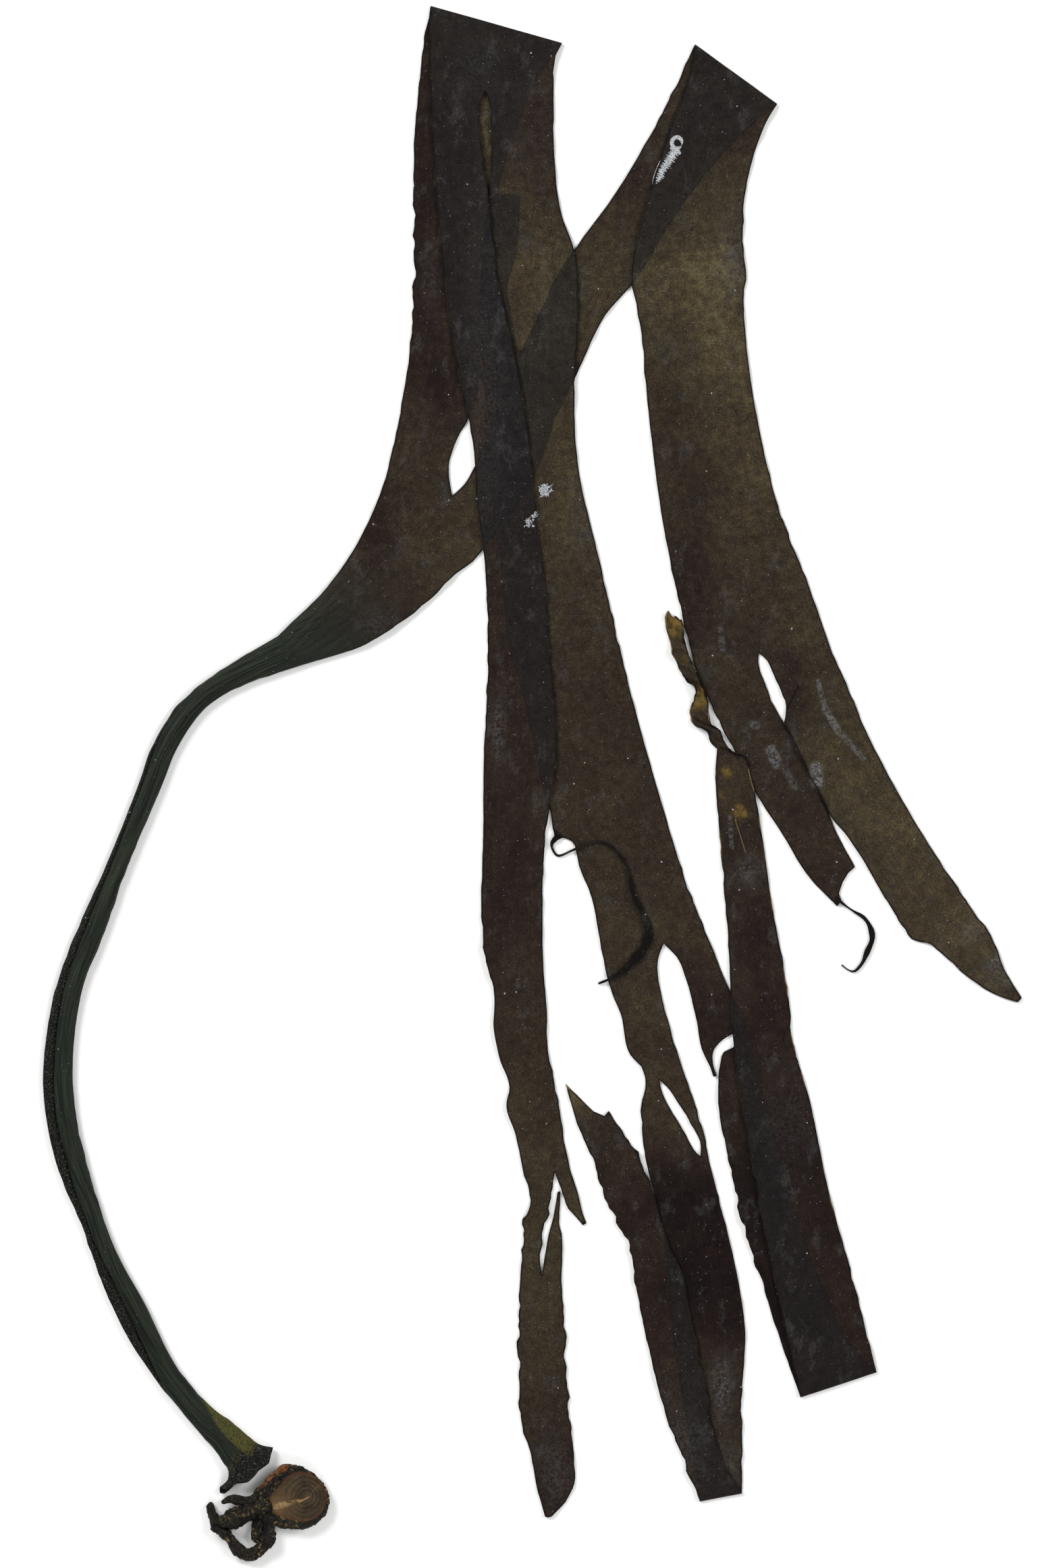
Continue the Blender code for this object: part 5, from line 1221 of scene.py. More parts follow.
def closed_object(name, grids, values):
    """An object of closed forms. Each grid's rows are rings, and its first and last row a pole."""
    mesh, _ = mesh_of_grids(name, [looped(grid) for grid in grids])
    for label, arrays in values.items():
        set_values(mesh, label, np.concatenate([looped(array).reshape(-1) for array in arrays]))
    weld(mesh, POLE_WELD_DISTANCE, MM)
    shade_smooth(mesh, CLOSED_SHARP_ANGLE)
    return new_object(name, mesh)


def tube_grid(line, wide, high, sides):
    """Rings round a line of points, wide to the sides and high upwards, closed at both ends."""
    side = sideways(line)
    angle = np.linspace(0.0, 2.0 * math.pi, sides, endpoint=False)
    across = (np.cos(angle) * wide[:, None])[..., None]
    rings = np.zeros((len(line), sides, 3))
    rings[:, :, :2] = line[:, None, :2] + side[:, None, :] * across
    rings[:, :, 2] = line[:, None, 2] + np.sin(angle) * high[:, None]
    first = np.broadcast_to(line[:1, None], (1, sides, 3))
    last = np.broadcast_to(line[-1:, None], (1, sides, 3))
    return np.concatenate((first, rings, last))


def disc_object():
    """The ringed slice: its outline scaled by a profile of sections, with rings and a crack."""
    outline = smooth_line(DISC_OUTLINE + DISC_OUTLINE[:1], DISC_POINTS)[:-1]
    middle = np.array(DISC_MIDDLE)
    share, level = np.array(DISC_PROFILE).T
    flat = middle + (outline - middle)[None] * share[:, None, None]
    turn = np.linspace(0.0, 2.0 * math.pi, DISC_POINTS, endpoint=False)
    rough = sum(part * np.sin(turn * waves + shift) for waves, shift, part in RIM_WAVES)
    bark = smoothstep((share - BARK_START) / BARK_FADE)[:, None] * (level > BACK_LEVEL)[:, None]
    outward = (outline - middle) / np.linalg.norm(outline - middle, axis=1)[:, None]
    knobs = BARK_ROUGHNESS * rough[None] * bark * np.cos(level * BARK_TURNS)[:, None]
    flat = flat + outward[None] * knobs[..., None]
    radius = np.linalg.norm(flat - np.array(RING_MIDDLE), axis=2)
    radius += RING_WANDER * swell(flat[..., 0], flat[..., 1], RING_WANDER_LENGTH)
    border = smooth_line(FACE_OUTLINE + FACE_OUTLINE[:1], DISC_POINTS)[:-1]
    places = flat.reshape(-1, 2)
    distance = edge_distance(places, border, np.roll(border, -1, axis=0))
    upward = (level > FRONT_LEVEL)[:, None] * (share < FRONT_SHARE)[:, None]
    face = np.where(inside(places, border), distance, -distance).reshape(radius.shape)
    face = np.where(upward, face, OFF_FACE)
    start, run = np.array(WEDGE_POINT), np.array(WEDGE_MOUTH) - np.array(WEDGE_POINT)
    along = ((flat - start) * run).sum(axis=2) / (run**2).sum()
    opened = np.clip(along, 0.0, 1.0)
    gap = np.linalg.norm(flat - (start + opened[..., None] * run), axis=2)
    half_width = WEDGE_POINT_HALF_WIDTH + WEDGE_HALF_WIDTH * opened
    wedge = (1.0 - smoothstep(gap / half_width - 0.3)) * (along > -0.1)
    on_face = smoothstep(face / FACE_BORDER + 0.5)
    height = DISC_THICKNESS * level[:, None] * np.ones_like(radius)
    height -= on_face * (FACE_SINK + WEDGE_DEPTH * wedge * opened)
    bark_height = BARK_RELIEF * rough[None] + BARK_RISE
    height += (1.0 - on_face) * (level > 0.5)[:, None] * bark_height
    grid = np.concatenate((flat, height[..., None]), axis=2)
    paleness = opened * np.exp(-(gap / PALE_REACH) ** 2)
    values = {"radius": [radius], "wedge": [wedge * on_face], "face": [face],
              "paleness": [paleness]}
    return closed_object("holdfast_disc", [grid], values)


def branch_knobs(place, angle, index):
    """How far a branch's skin stands out, from about -1 to 1.

    Slow swellings along the branch, two, three and seven ridges that wind round it, and crumbs.
    """
    turned = angle + 0.8 * np.sin(place * 0.35 + index)
    knobs = 0.7 * swell(place, 5.0 * index, 5.0, index) + 0.5 * np.cos(2.0 * turned)
    knobs += 0.45 * np.cos(3.0 * turned + 1.0 + index) + 0.2 * np.cos(7.0 * turned + place)
    knobs += 0.35 * swell(place + 9.0, 2.0 * np.sin(turned * 2.0), 1.4, index)
    knobs[0] = knobs[-1] = 0.0
    return knobs


def haptera_object():
    """The knobbly rooting branches of the slice, tapering tubes with an uneven skin."""
    grids, russet = [], []
    branches = BRANCHES + [RUSSET_BRANCH]
    for index, (path, start, end, middle_height) in enumerate(branches):
        count = round(way_along(path)[-1] / BRANCH_POINT_SPACING)
        flat = smooth_line(path, count)
        share = np.linspace(0.0, 1.0, count + 1)
        radius = start + (end - start) * share
        from_end = np.minimum(share, 1.0 - share) * count
        radius *= np.sqrt(np.clip(from_end * BRANCH_END_SLOPE + BRANCH_END_SHARE, 0.0, 1.0))
        height = np.full(count + 1, middle_height + BRANCH_CLEARANCE)
        line = np.concatenate((flat, height[:, None]), axis=1)
        grid = tube_grid(line, radius, np.minimum(radius, middle_height), BRANCH_SIDES)
        angle = np.linspace(0.0, 2.0 * math.pi, BRANCH_SIDES, endpoint=False)[None]
        place = np.arange(len(grid))[:, None] * BRANCH_POINT_SPACING
        knobs = branch_knobs(place, angle, index)
        axis = np.concatenate((line[:1], line, line[-1:]))[:, None]
        grid = axis + (grid - axis) * (1.0 + BRANCH_KNOBS * knobs[..., None])
        grid[..., 2] = np.maximum(grid[..., 2], BRANCH_LOWEST)
        grids.append(grid)
        russet.append(np.full(grid.shape[:2], float(path is RUSSET_BRANCH[0])))
    return closed_object("holdfast_haptera", grids, {"russet": russet})


def crust_object(heights):
    """White crusts on the blade: a small coil, a comb-like tail and lacy patches."""
    random = np.random.default_rng(CRUST_SEED)
    grids = []

    def add(flat, width):
        """Adds a low ridge along a line, laid on the blade and pointed at both ends."""
        top = read_map(heights, flat[:, 0], flat[:, 1]) - LAYER_PITCH + SHEET_THICKNESS
        top += BUCKLE_HEIGHT / 2 + CRUST_LIFT
        line = np.concatenate((flat, top[:, None]), axis=1)
        taper = np.clip(1.0 - np.linspace(-1.0, 1.0, len(flat)) ** 6, 0.05, 1.0)
        grids.append(tube_grid(line, width * taper, CRUST_HEIGHT * taper, CRUST_SIDES))

    turn = np.linspace(*CRUST_HEAD_TURN, CRUST_HEAD_POINTS)
    round_head = np.column_stack((np.cos(turn), 1.1 * np.sin(turn)))
    add(np.array(CRUST_HEAD) + CRUST_HEAD_RADIUS * round_head, CRUST_HEAD_WIDTH)
    tail = smooth_line(CRUST_TAIL, CRUST_RIBS)
    widths = np.interp(np.linspace(0.0, 1.0, CRUST_RIBS + 1),
                       np.linspace(0.0, 1.0, len(CRUST_TAIL_WIDTHS)), CRUST_TAIL_WIDTHS)
    add(tail, widths * CRUST_CORE)
    add(tail[:4], widths[:4])
    add(smooth_line(CRUST_SLIP, 12), CRUST_CREST_WIDTH)
    side = sideways(tail)
    for index in range(2, CRUST_RIBS):
        for sign in (-1.0, 1.0):
            out = side[index] * sign * widths[index] * random.uniform(*RIB_REACHES)
            slant = (tail[index + 1] - tail[index]) * random.uniform(*RIB_SLANTS)
            rib = np.linspace(tail[index], tail[index] + out + slant, 4)
            add(rib, CRUST_RIB_WIDTH * random.uniform(*RIB_WIDTHS))
    for middle, reach, count in CRUST_PATCHES:
        for _ in range(count):
            away = reach * math.sqrt(random.uniform(0.0, 1.0))
            angle, heading = random.uniform(0.0, 2.0 * math.pi, 2)
            start = np.array(middle) + away * np.array((math.cos(angle), math.sin(angle)))
            run = np.array((math.cos(heading), math.sin(heading)))
            length = CRUST_CREST_LENGTH * random.uniform(*CREST_LENGTHS)
            bow = np.array((-run[1], run[0])) * random.uniform(-CREST_BOW, CREST_BOW)
            share = np.linspace(0.0, 1.0, 5)[:, None]
            flat = start + run * length * share + bow * np.sin(share * math.pi)
            add(flat, CRUST_CREST_WIDTH * random.uniform(*CREST_WIDTHS))
    return closed_object("white_crusts", grids, {})


class Finish:
    """Builds one material by short calls. Each call returns the output that holds its result."""

    def __init__(self, name):
        self.material = bpy.data.materials.new(name)
        self.material.use_nodes = True
        self.tree = self.material.node_tree
        self.surface = self.tree.nodes["Principled BSDF"]
        self.here = self.node("TexCoord", {}, "Object")

    def feed(self, socket, value):
        """Links an output to a socket, or sets the socket to a plain value or colour."""
        if isinstance(value, bpy.types.NodeSocket):
            self.tree.links.new(value, socket)
        elif socket.type == "RGBA":
            socket.default_value = value + (1.0,)
        else:
            socket.default_value = value

    def node(self, kind, inputs, output=0, **settings):
        """Adds a node with its settings, feeds its inputs by name or number, gives an output."""
        node = self.tree.nodes.new("ShaderNode" + kind)
        for name, value in settings.items():
            setattr(node, name, value)
        for key, value in inputs.items():
            self.feed(node.inputs[key], value)
        return node.outputs[output]

    def attribute(self, name, output="Fac"):
        """What the mesh stores under a name."""
        return self.node("Attribute", {}, output, attribute_name=name)

    def math(self, operation, *values):
        return self.node("Math", dict(enumerate(values)), operation=operation)

    def times(self, first, second):
        return self.math("MULTIPLY", first, second)

    def plus(self, first, second):
        return self.math("ADD", first, second)

    def away_from(self, value, middle):
        """How far a value lies from middle, to either side."""
        return self.math("ABSOLUTE", self.math("SUBTRACT", value, middle))

    def fit(self, value, low, high, to_low=0.0, to_high=1.0):
        """Maps low to high onto to_low to to_high with soft ends."""
        inputs = dict(enumerate((value, low, high, to_low, to_high)))
        return self.node("MapRange", inputs, interpolation_type="SMOOTHSTEP")

    def stretch(self, vector, scale):
        return self.node("Mapping", {"Vector": vector, "Scale": scale})

    def noise(self, where, scale, detail=2.0, roughness=0.5):
        return self.node("TexNoise", {"Vector": where, "Scale": scale, "Detail": detail,
                                      "Roughness": roughness})

    def cells(self, where, scale, output="Distance"):
        """Round cells on the plane: how far from a cell's middle, or a number for each cell."""
        return self.node("TexVoronoi", {"Vector": where, "Scale": scale}, output,
                         voronoi_dimensions="2D")

    def vector(self, operation, *values):
        """Vector arithmetic. A distance or a dot product comes back as one number."""
        output = "Value" if operation in ("DOT_PRODUCT", "DISTANCE") else "Vector"
        return self.node("VectorMath", dict(enumerate(values)), output, operation=operation)

    def stroke(self, start, end, half_width):
        """1 on the straight line from start to end, seen from above, fading to 0 beside it."""
        run = [(b - a) * MM for a, b in zip(start, end)] + [0.0]
        length_squared = run[0] ** 2 + run[1] ** 2
        from_start = self.vector("SUBTRACT", self.stretch(self.here, (1.0, 1.0, 0.0)),
                                 (start[0] * MM, start[1] * MM, 0.0))
        share = self.math("DIVIDE", self.vector("DOT_PRODUCT", from_start, run), length_squared)
        share = self.math("MINIMUM", self.math("MAXIMUM", share, 0.0), 1.0)
        nearest = self.node("VectorMath", {0: run, "Scale": share}, "Vector", operation="SCALE")
        gap = self.vector("DISTANCE", from_start, nearest)
        return self.fit(gap, half_width * MM, half_width * MM * STROKE_CORE)

    def ramp(self, value, stops):
        """Colours along a value, mixed between stops. Each stop: place and colour."""
        color = self.node("ValToRGB", {0: value})
        elements = color.node.color_ramp.elements
        while len(elements) < len(stops):
            elements.new(0.5)
        for element, (place, stop_color) in zip(elements, stops):
            element.position = place
            element.color = stop_color + (1.0,)
        return color

    def mix(self, share, first, second, blend="MIX"):
        return self.node("Mix", {0: share, 6: first, 7: second}, 2, data_type="RGBA",
                         blend_type=blend)

    def finish(self, piece, color, roughness, gloss, relief, relief_height, strength=1.0):
        """Gives the piece the material, with its colour, roughness, gloss and fine relief."""
        normal = self.node("Bump", {"Height": relief, "Distance": relief_height,
                                    "Strength": strength})
        self.feed(self.surface.inputs["Normal"], normal)
        self.feed(self.surface.inputs["Base Color"], color)
        self.feed(self.surface.inputs["Roughness"], roughness)
        self.surface.inputs["Specular IOR Level"].default_value = gloss
        piece.data.materials.clear()
        piece.data.materials.append(self.material)


# Colours, linear. The first ones run from purplish black to pale olive.
TONE_COLORS = [
    (0.0, (0.0040, 0.0022, 0.0022)),
    (0.10, (0.0071, 0.0036, 0.0034)),
    (0.32, (0.0160, 0.0094, 0.0072)),
    (0.50, (0.0241, 0.0169, 0.0108)),
    (0.68, (0.0351, 0.0264, 0.0150)),
    (0.86, (0.0640, 0.0505, 0.0255)),
    (1.0, (0.0850, 0.0700, 0.0380)),
]
# What stains, grain and mottles multiply the colour by
STAIN_FACTORS = [(0.36, (0.61, 0.59, 0.61)), (0.47, (0.84, 0.84, 0.84)),
                 (0.52, (0.93, 0.93, 0.92)), (0.62, (1.22, 1.21, 1.16))]
GRAIN_FACTORS = [(0.36, (0.55, 0.55, 0.56)), (0.64, (1.60, 1.60, 1.58))]
MOTTLE_FACTOR = (0.55, 0.52, 0.50)
PLAIN_FACTOR = (1.0, 1.0, 1.0)
# Black of lines, cracks and rims, and the painted shade of blade that lies over one and over two
# more layers
LINE_AND_SHADE_BLACK = (0.0040, 0.0030, 0.0028)
DOUBLED_SHADE = (0.0082, 0.0075, 0.0082)
TREBLED_SHADE = (0.0078, 0.0078, 0.0088)
HAZE_COLOR = (0.115, 0.118, 0.122)
BLOOM_COLOR = (0.042, 0.040, 0.040)
GOLD_DARK = (0.040, 0.028, 0.009)
GOLD_BRIGHT = (0.125, 0.078, 0.020)
STEM_GREEN = (0.0235, 0.0290, 0.0195)
STEM_BLACK = (0.0055, 0.0070, 0.0060)
FLANGE_BLACK = (0.0042, 0.0046, 0.0040)
FLANGE_GRIT = (0.070, 0.070, 0.055)
SEAM_BROWN = (0.10, 0.075, 0.030)
# Gold of the scratches, and also of the painted highlight of the glints along the free edges
SCRATCH_AND_GLINT_GOLD = (0.14, 0.10, 0.05)
STEM_OLIVE = (0.060, 0.056, 0.014)
DUST_COLOR = (0.32, 0.33, 0.36)
BARK_BLACK = (0.0045, 0.0040, 0.0034)
BARK_BROWN = (0.021, 0.016, 0.010)
FLECK_GOLD = (0.27, 0.19, 0.055)
FACE_DARK = (0.026, 0.017, 0.0085)
FACE_BROWN = (0.058, 0.039, 0.018)
FACE_RED = (0.070, 0.026, 0.010)
WEDGE_TAN = (0.165, 0.098, 0.040)
WEDGE_CREAM = (0.29, 0.20, 0.095)
RUSSET_DARK = (0.045, 0.018, 0.008)
RUSSET = (0.19, 0.075, 0.026)
CHALK_GREY = (0.19, 0.20, 0.21)
CHALK_WHITE = (0.46, 0.48, 0.50)

# Noises: cells along a metre, detail and roughness
BROAD_NOISE = (70.0, 3.0, 0.55)
BLOTCH_NOISE = (330.0, 3.0, 0.6)
GRAIN_NOISE = (2900.0, 3.0, 0.7)
BLOOM_NOISE = (190.0, 8.0, 0.72)
STAIN_NOISE = (480.0, 6.0, 0.72)
HAZE_NOISE = (1300.0, 4.0, 0.75)
GOLD_NOISE = (520.0, 5.0, 0.7)
GLINT_NOISE = (160.0, 2.0)
GRIT_NOISE = (2800.0, 3.0, 0.7)
OLIVE_NOISE = (2000.0, 4.0, 0.75)
CRUMB_NOISE = (900.0, 4.0, 0.7)
FLECK_NOISE = (1100.0, 4.0, 0.75)
FLECK_AREA_NOISE = (220.0, 2.0)
FACE_NOISE = (420.0, 5.0, 0.7)
PORE_NOISE = (3000.0, 3.0, 0.6)
MOTTLES_PER_METRE = 300.0
# Fibres and the stipe's lines are noises of the flow: cells along and across a millimetre
FIBRE_STRETCH = (0.035, 1.6, 1.0)
FIBRE_NOISE = (1.0, 3.0, 0.6)
STEM_LINE_STRETCH = (0.05, 3.4, 1.0)
STEM_LINE_NOISE = (1.0, 3.0, 0.65)
BLOOM_STRETCH = (1.0, 0.6, 1.0)

# Where a noise or another value begins to tell and tells fully. Two more numbers say what it
# gives there, if not 0 and 1.
MOTTLE_EDGE = (0.22, 0.34)
MOTTLED_TONES = (0.35, 0.9, 0.0, 0.5)
BLOOM_RANGE = (0.545, 0.63, 0.0, 0.34)
HAZE_RANGE = (0.40, 0.60)
GOLD_RANGE = (0.38, 0.62)
GOLD_EDGE = (0.15, 0.85)
GLINT_RANGE = (0.48, 0.60)
GLINT_ON_GOLD = (0.02, 0.1, 0.08, 1.0)
BLADE_ROUGHNESS = (0.3, 0.7, 0.62, 0.48)
STEM_LINE_RANGE = (0.30, 0.72)
FLANGE_GRIT_RANGE = (0.52, 0.68)
SEAM_EDGE = (0.05, 0.3)
SEAM_GRIT_RANGE = (0.52, 0.62)
OLIVE_RANGE = (0.36, 0.52)
FACE_RANGE = (0.35, 0.68)
FACE_STEP = (-0.12, 0.12)
FACE_RIM = (1.1, 0.2, 0.0, 0.55)
RING_LINE = (0.26, 0.06, 0.0, 0.6)
WEDGE_RANGE = (0.40, 0.66)
BARK_RANGE = (0.40, 0.72)
FLECK_RANGE = (0.56, 0.64)
FLECK_AREA_RANGE = (0.38, 0.54)
RUSSET_RANGE = (0.4, 0.62)
HOLDFAST_ROUGHNESS = (0.3, 0.7, 0.75, 0.5)
PORE_RANGE = (0.35, 0.65)

# How strongly some colours are mixed in
DOUBLED_SHARE = 0.68
TREBLED_SHARE = 0.5
HAZE_SHARE = 0.6
SEAM_SHARE_OF_COLOR = 0.5
PALE_SHARE = 0.8
FLECK_SHARE = 0.85
# The tone is scaled and moved onto the row of tone colours, which runs from 0 to 1
TONE_SCALE = 0.4
TONE_MIDDLE = 0.5

# How much each noise adds to the tone, from end to end
BROAD_SHARE = 1.15
BLOTCH_SHARE = 0.65
FIBRE_SHARE = 0.5
# Borders of covered areas, painted as shade: the soft step and the half width of the line, in
# millimetres
LAYER_STEP = (-0.12, 0.08)
LAYER_LINE = (0.34, 0.05)
LAYER_LINE_STRENGTH = 0.28
# Free edges: how far in the dark rim and its glints (a painted golden highlight) begin and are
# full, and the rim's strength
RIM_REACH = (0.55, 0.2, 0.0, 0.9)
GLINT_REACH = (0.38, 0.10)
# Dust: cells along a metre, share of cells without a speck, largest radius and strength
DUSTS = ((150.0, 0.55, 0.034, 0.9), (560.0, 0.5, 0.062, 0.5))
STROKE_CORE = 0.3

# Heights of fine reliefs in metres
BLADE_RELIEF = 0.00022
HOLDFAST_RELIEF = 0.0004
CRUST_RELIEF = 0.0001
BLADE_RELIEF_STRENGTH = 0.8
# Shares of the blade's relief: the stipe's lines, then fibres, blotches and grain
STEM_LINE_RELIEF = 0.45
RELIEF_SHARES = (0.5, 0.6, 0.25)
FLECK_RELIEF = 0.7
# How strongly each finish reflects, and the crust's even roughness
BLADE_GLOSS = 0.07
HOLDFAST_GLOSS = 0.15
CRUST_GLOSS = 0.2
CRUST_ROUGHNESS = 0.9


def blade_tone(skin, blotch, fibres, blotch_range):
    """The tone with its unevenness, from purplish to olive."""
    tone = skin.attribute("tone")
    blotch_share = skin.fit(*blotch_range, CALM_BLOTCH * BLOTCH_SHARE, BLOTCH_SHARE)
    broad = skin.noise(skin.here, *BROAD_NOISE)
    for noise, amount in ((broad, BROAD_SHARE), (blotch, blotch_share), (fibres, FIBRE_SHARE)):
        tone = skin.plus(tone, skin.times(skin.math("SUBTRACT", noise, 0.5), amount))
    return tone


def stem_finish(skin, color, lines, stem):
    """Stipe: greenish black with fine lines, blacker on its flange, olive near the foot."""
    grit = skin.noise(skin.here, *GRIT_NOISE)
    flange = skin.attribute("flange")
    stem_color = skin.mix(skin.fit(lines, *STEM_LINE_RANGE), STEM_BLACK, STEM_GREEN)
    flange_color = skin.mix(skin.fit(grit, *FLANGE_GRIT_RANGE), FLANGE_BLACK, FLANGE_GRIT)
    stem_color = skin.mix(flange, stem_color, flange_color)
    seam = skin.math("SUBTRACT", 0.5, skin.away_from(flange, 0.5))
    seam_specks = skin.times(skin.fit(seam, *SEAM_EDGE), skin.fit(grit, *SEAM_GRIT_RANGE))
    stem_color = skin.mix(skin.times(seam_specks, SEAM_SHARE_OF_COLOR), stem_color, SEAM_BROWN)
    color = skin.mix(stem, color, stem_color)
    ragged = skin.fit(skin.noise(skin.here, *OLIVE_NOISE), *OLIVE_RANGE)
    return skin.mix(skin.times(skin.attribute("olive_patch"), ragged), color, STEM_OLIVE)


def dried_blade(piece):
    """Dark kelp skin: tone along each lobe, mottles, fibres, painted shade of doubled layers, rims
    and dust.
    """
    skin = Finish("dried kelp blade")
    here, flow = skin.here, skin.attribute("flow", "Vector")
    blotch = skin.noise(here, *BLOTCH_NOISE)
    grain = skin.noise(here, *GRAIN_NOISE)
    fibres = skin.noise(skin.stretch(flow, FIBRE_STRETCH), *FIBRE_NOISE)
    height = skin.vector("DOT_PRODUCT", here, (0.0, 1.0, 0.0))
    blotch_range = (height, BLOTCH_FOOT * MM, BLOTCH_TOP * MM)
    tone = blade_tone(skin, blotch, fibres, blotch_range)
    color = skin.ramp(skin.math("MULTIPLY_ADD", tone, TONE_SCALE, TONE_MIDDLE), TONE_COLORS)
    mottles = skin.mix(skin.fit(skin.cells(here, MOTTLES_PER_METRE), *MOTTLE_EDGE),
                       MOTTLE_FACTOR, PLAIN_FACTOR)
    some_mottles = skin.times(skin.fit(tone, *MOTTLED_TONES),
                              skin.fit(height, MOTTLE_FOOT * MM, MOTTLE_TOP * MM))
    color = skin.mix(some_mottles, color, mottles, "MULTIPLY")
    undoubled = color
    marks = {kind: [] for kind in ("bare", "haze", "crack", "scratch")}
    for start, end, half_width, strength, kind in MARKS:
        marks[kind].append(skin.times(skin.stroke(start, end, half_width), strength))

    # Painted shade: layers beneath show as crisp darker areas with a thin line round them, as
    # doubled blade lets less light through
    once, twice = skin.attribute("once"), skin.attribute("twice")
    for depth, dark, strength in ((once, DOUBLED_SHADE, DOUBLED_SHARE),
                                  (twice, TREBLED_SHADE, TREBLED_SHARE)):
        color = skin.mix(skin.fit(depth, *LAYER_STEP, 0.0, strength), color, dark)
        line = skin.fit(skin.math("ABSOLUTE", depth), *LAYER_LINE)
        color = skin.mix(skin.times(line, LAYER_LINE_STRENGTH), color, LINE_AND_SHADE_BLACK)
    for mark in marks["bare"]:
        color = skin.mix(mark, color, undoubled)

    # Greyish bloom in ragged patches, stains, and grain
    bloom = skin.noise(skin.stretch(here, BLOOM_STRETCH), *BLOOM_NOISE)
    color = skin.mix(skin.fit(bloom, *BLOOM_RANGE), color, BLOOM_COLOR)
    stains = skin.ramp(skin.noise(here, *STAIN_NOISE), STAIN_FACTORS)
    color = skin.mix(skin.fit(*blotch_range, CALM_STAIN, 1.0), color, stains, "MULTIPLY")
    color = skin.mix(1.0, color, skin.ramp(grain, GRAIN_FACTORS), "MULTIPLY")

    # Cracks, scratches and hazy salt bloom, which fine noise breaks up
    for mark in marks["crack"]:
        color = skin.mix(mark, color, LINE_AND_SHADE_BLACK)
    for mark in marks["scratch"]:
        color = skin.mix(mark, color, SCRATCH_AND_GLINT_GOLD)
    haze = skin.attribute("haze")
    for mark in marks["haze"]:
        haze = skin.math("MAXIMUM", haze, mark)
    haze = skin.times(haze, skin.fit(skin.noise(here, *HAZE_NOISE), *HAZE_RANGE))
    color = skin.mix(skin.times(haze, HAZE_SHARE), color, HAZE_COLOR)

    # Golden thin places, and dark rims with broken golden glints, a painted highlight
    gold = skin.attribute("gold")
    gold_color = skin.mix(skin.fit(skin.noise(here, *GOLD_NOISE), *GOLD_RANGE),
                          GOLD_DARK, GOLD_BRIGHT)
    color = skin.mix(skin.fit(gold, *GOLD_EDGE), color, gold_color)
    rim = skin.attribute("rim")
    color = skin.mix(skin.fit(rim, *RIM_REACH), color, LINE_AND_SHADE_BLACK)
    glint = skin.times(skin.fit(rim, *GLINT_REACH),
                       skin.fit(skin.noise(here, *GLINT_NOISE), *GLINT_RANGE))
    glint = skin.times(glint, skin.fit(gold, *GLINT_ON_GOLD))
    color = skin.mix(glint, color, SCRATCH_AND_GLINT_GOLD)

    stem = skin.attribute("stem")
    lines = skin.noise(skin.stretch(flow, STEM_LINE_STRETCH), *STEM_LINE_NOISE)
    color = stem_finish(skin, color, lines, stem)
    for scale, bare, radius, strength in DUSTS:
        limit = skin.fit(skin.cells(here, scale, "Color"), bare, 1.0, 0.0, radius)
        speck = skin.math("LESS_THAN", skin.cells(here, scale), limit)
        color = skin.mix(skin.times(speck, strength), color, DUST_COLOR)

    relief = skin.times(skin.times(lines, stem), STEM_LINE_RELIEF)
    for bumps, share in zip((fibres, blotch, grain), RELIEF_SHARES):
        relief = skin.plus(relief, skin.times(bumps, share))
    roughness = skin.fit(blotch, *BLADE_ROUGHNESS)
    skin.finish(piece, color, roughness, BLADE_GLOSS, relief, BLADE_RELIEF,
                BLADE_RELIEF_STRENGTH)


def cut_face_color(wood, crumbs):
    """Brown wood with dark rings, a pale wedge, fine cracks and a reddish border."""
    face = wood.mix(wood.fit(wood.noise(wood.here, *FACE_NOISE), *FACE_RANGE), FACE_DARK,
                    FACE_BROWN)
    for ring_radius in RING_RADII:
        gap = wood.away_from(wood.attribute("radius"), ring_radius)
        face = wood.mix(wood.fit(gap, *RING_LINE), face, BARK_BLACK)
    face = wood.mix(wood.times(wood.attribute("paleness"), PALE_SHARE), face, WEDGE_TAN)
    wedge_color = wood.mix(wood.fit(crumbs, *WEDGE_RANGE), WEDGE_TAN, WEDGE_CREAM)
    face = wood.mix(wood.attribute("wedge"), face, wedge_color)
    for start, end, half_width, crack_color in FACE_CRACKS:
        face = wood.mix(wood.stroke(start, end, half_width), face, crack_color)
    return wood.mix(wood.fit(wood.attribute("face"), *FACE_RIM), face, FACE_RED)


def dried_holdfast(piece, cut_face):
    """Near-black crumbly bark with golden flecks, and a ringed cut face or a russet branch."""
    wood = Finish("dried holdfast cut face" if cut_face else "dried haptera")
    crumbs = wood.noise(wood.here, *CRUMB_NOISE)
    flecks = wood.noise(wood.here, *FLECK_NOISE)
    color = wood.mix(wood.fit(crumbs, *BARK_RANGE), BARK_BLACK, BARK_BROWN)
    gilt = wood.times(wood.fit(flecks, *FLECK_RANGE),
                      wood.fit(wood.noise(wood.here, *FLECK_AREA_NOISE), *FLECK_AREA_RANGE))
    color = wood.mix(wood.times(gilt, FLECK_SHARE), color, FLECK_GOLD)
    if cut_face:
        on_face = wood.fit(wood.attribute("face"), *FACE_STEP)
        color = wood.mix(on_face, color, cut_face_color(wood, crumbs))
    else:
        streaked = wood.mix(wood.fit(crumbs, *RUSSET_RANGE), RUSSET_DARK, RUSSET)
        color = wood.mix(wood.attribute("russet"), color, streaked)
    relief = wood.plus(crumbs, wood.times(flecks, FLECK_RELIEF))
    roughness = wood.fit(crumbs, *HOLDFAST_ROUGHNESS)
    wood.finish(piece, color, roughness, HOLDFAST_GLOSS, relief, HOLDFAST_RELIEF)


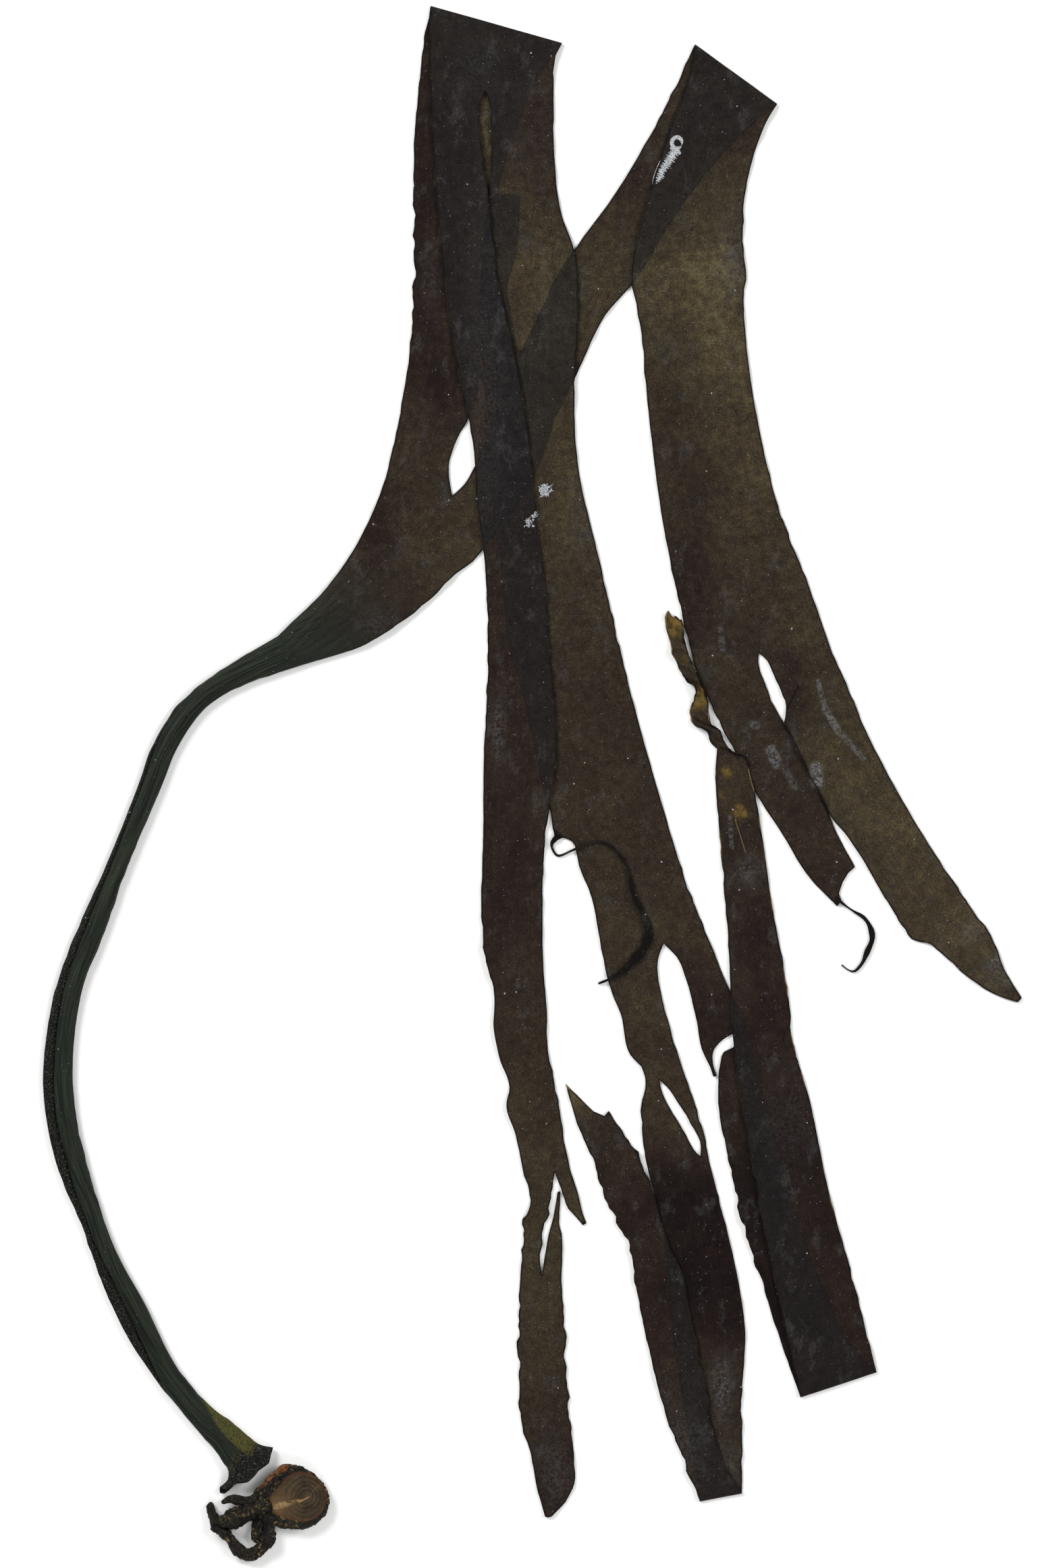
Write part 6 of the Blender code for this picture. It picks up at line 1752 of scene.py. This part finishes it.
def white_crust(piece):
    """Chalky white with grey pores."""
    chalk = Finish("chalky crust")
    pores = chalk.noise(chalk.here, *PORE_NOISE)
    color = chalk.mix(chalk.fit(pores, *PORE_RANGE), CHALK_GREY, CHALK_WHITE)
    chalk.finish(piece, color, CRUST_ROUGHNESS, CRUST_GLOSS, pores, CRUST_RELIEF)


def add_olive_patch(piece):
    """Marks the olive place on the right side of the stipe's foot."""
    flat = get_vectors(piece.data, "co")[:, :2] / MM
    start, end = np.array(OLIVE_PATCH_LINE)
    run = (end - start) / np.linalg.norm(end - start)
    along = (flat - start) @ run / np.linalg.norm(end - start)
    beside = np.abs((flat - start) @ np.array((-run[1], run[0])))
    width = OLIVE_PATCH_HALF_WIDTH * smoothstep(along * OLIVE_PATCH_WIDENING)
    patch = smoothstep((width - beside) / OLIVE_PATCH_EDGE + 0.5)
    patch *= smoothstep(along * OLIVE_PATCH_START)
    set_values(piece.data, "olive_patch", patch * smoothstep((1.0 - along) * OLIVE_PATCH_END))


def make_camera():
    """A long lens straight above the photo's middle, which frames the photo's height."""
    lens = bpy.data.cameras.new("scan camera")
    lens.lens = LENS_MM
    lens.sensor_fit = "VERTICAL"
    lens.sensor_height = SENSOR_MM
    frame_height = PHOTO_HEIGHT_PIXELS / PHOTO_PIXELS_PER_MM * MM
    distance = frame_height * LENS_MM / SENSOR_MM
    lens.clip_end = 2.0 * distance
    camera = bpy.data.objects.new("scan camera", lens)
    camera.location = (VIEW_MIDDLE[0] * MM, VIEW_MIDDLE[1] * MM, distance)
    bpy.context.scene.collection.objects.link(camera)
    bpy.context.scene.camera = camera


def make_light():
    """Soft light from the whole sky and three large lamps that look at the specimen."""
    world = bpy.data.worlds.new("soft sky")
    world.use_nodes = True
    world.node_tree.nodes["Background"].inputs["Strength"].default_value = SKY_STRENGTH
    world.node_tree.nodes["Background"].inputs["Color"].default_value = (1.0, 1.0, 1.0, 1.0)
    bpy.context.scene.world = world
    for index, (place, size, power) in enumerate(LAMPS):
        light = bpy.data.lights.new(f"softbox {index}", "AREA")
        light.size = size
        light.energy = power
        lamp = bpy.data.objects.new(light.name, light)
        lamp.location = place
        toward = -np.array(place) / np.linalg.norm(place)
        lamp.rotation_euler = (math.acos(-toward[2]), 0.0, math.atan2(-toward[0], toward[1]))
        bpy.context.scene.collection.objects.link(lamp)


def make_floor():
    """A plain pale floor under the specimen."""
    half = FLOOR_SIZE / 2.0
    mesh = bpy.data.meshes.new("floor")
    mesh.from_pydata([(-half, -half, 0.0), (half, -half, 0.0), (half, half, 0.0),
                      (-half, half, 0.0)], [], [(0, 1, 2, 3)])
    floor = new_object("floor", mesh)
    material = bpy.data.materials.new("pale floor")
    material.use_nodes = True
    surface = material.node_tree.nodes["Principled BSDF"]
    surface.inputs["Base Color"].default_value = FLOOR_COLOR
    surface.inputs["Roughness"].default_value = FLOOR_ROUGHNESS
    surface.inputs["Specular IOR Level"].default_value = FLOOR_GLOSS
    mesh.materials.append(material)
    floor.location.z = -FLOOR_GAP


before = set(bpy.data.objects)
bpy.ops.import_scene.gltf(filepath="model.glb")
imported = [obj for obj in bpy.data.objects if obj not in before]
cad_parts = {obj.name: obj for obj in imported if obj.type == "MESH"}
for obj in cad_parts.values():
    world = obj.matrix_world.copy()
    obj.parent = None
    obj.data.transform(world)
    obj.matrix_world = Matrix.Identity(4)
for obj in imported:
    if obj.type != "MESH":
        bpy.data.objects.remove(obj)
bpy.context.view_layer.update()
bpy.context.scene.view_settings.view_transform = "Standard"
make_camera()
make_light()
make_floor()

plant_lobes, plant_heights = build_lobes()
thallus = thallus_object(plant_lobes)
add_olive_patch(thallus)
dried_blade(thallus)
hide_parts("thallus")

disc = disc_object()
dried_holdfast(disc, cut_face=True)
haptera = haptera_object()
dried_holdfast(haptera, cut_face=False)
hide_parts("holdfast")
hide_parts("holdfast")

crusts = crust_object(plant_heights)
white_crust(crusts)

for part in (thallus, disc, haptera, crusts):
    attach(part, "root")
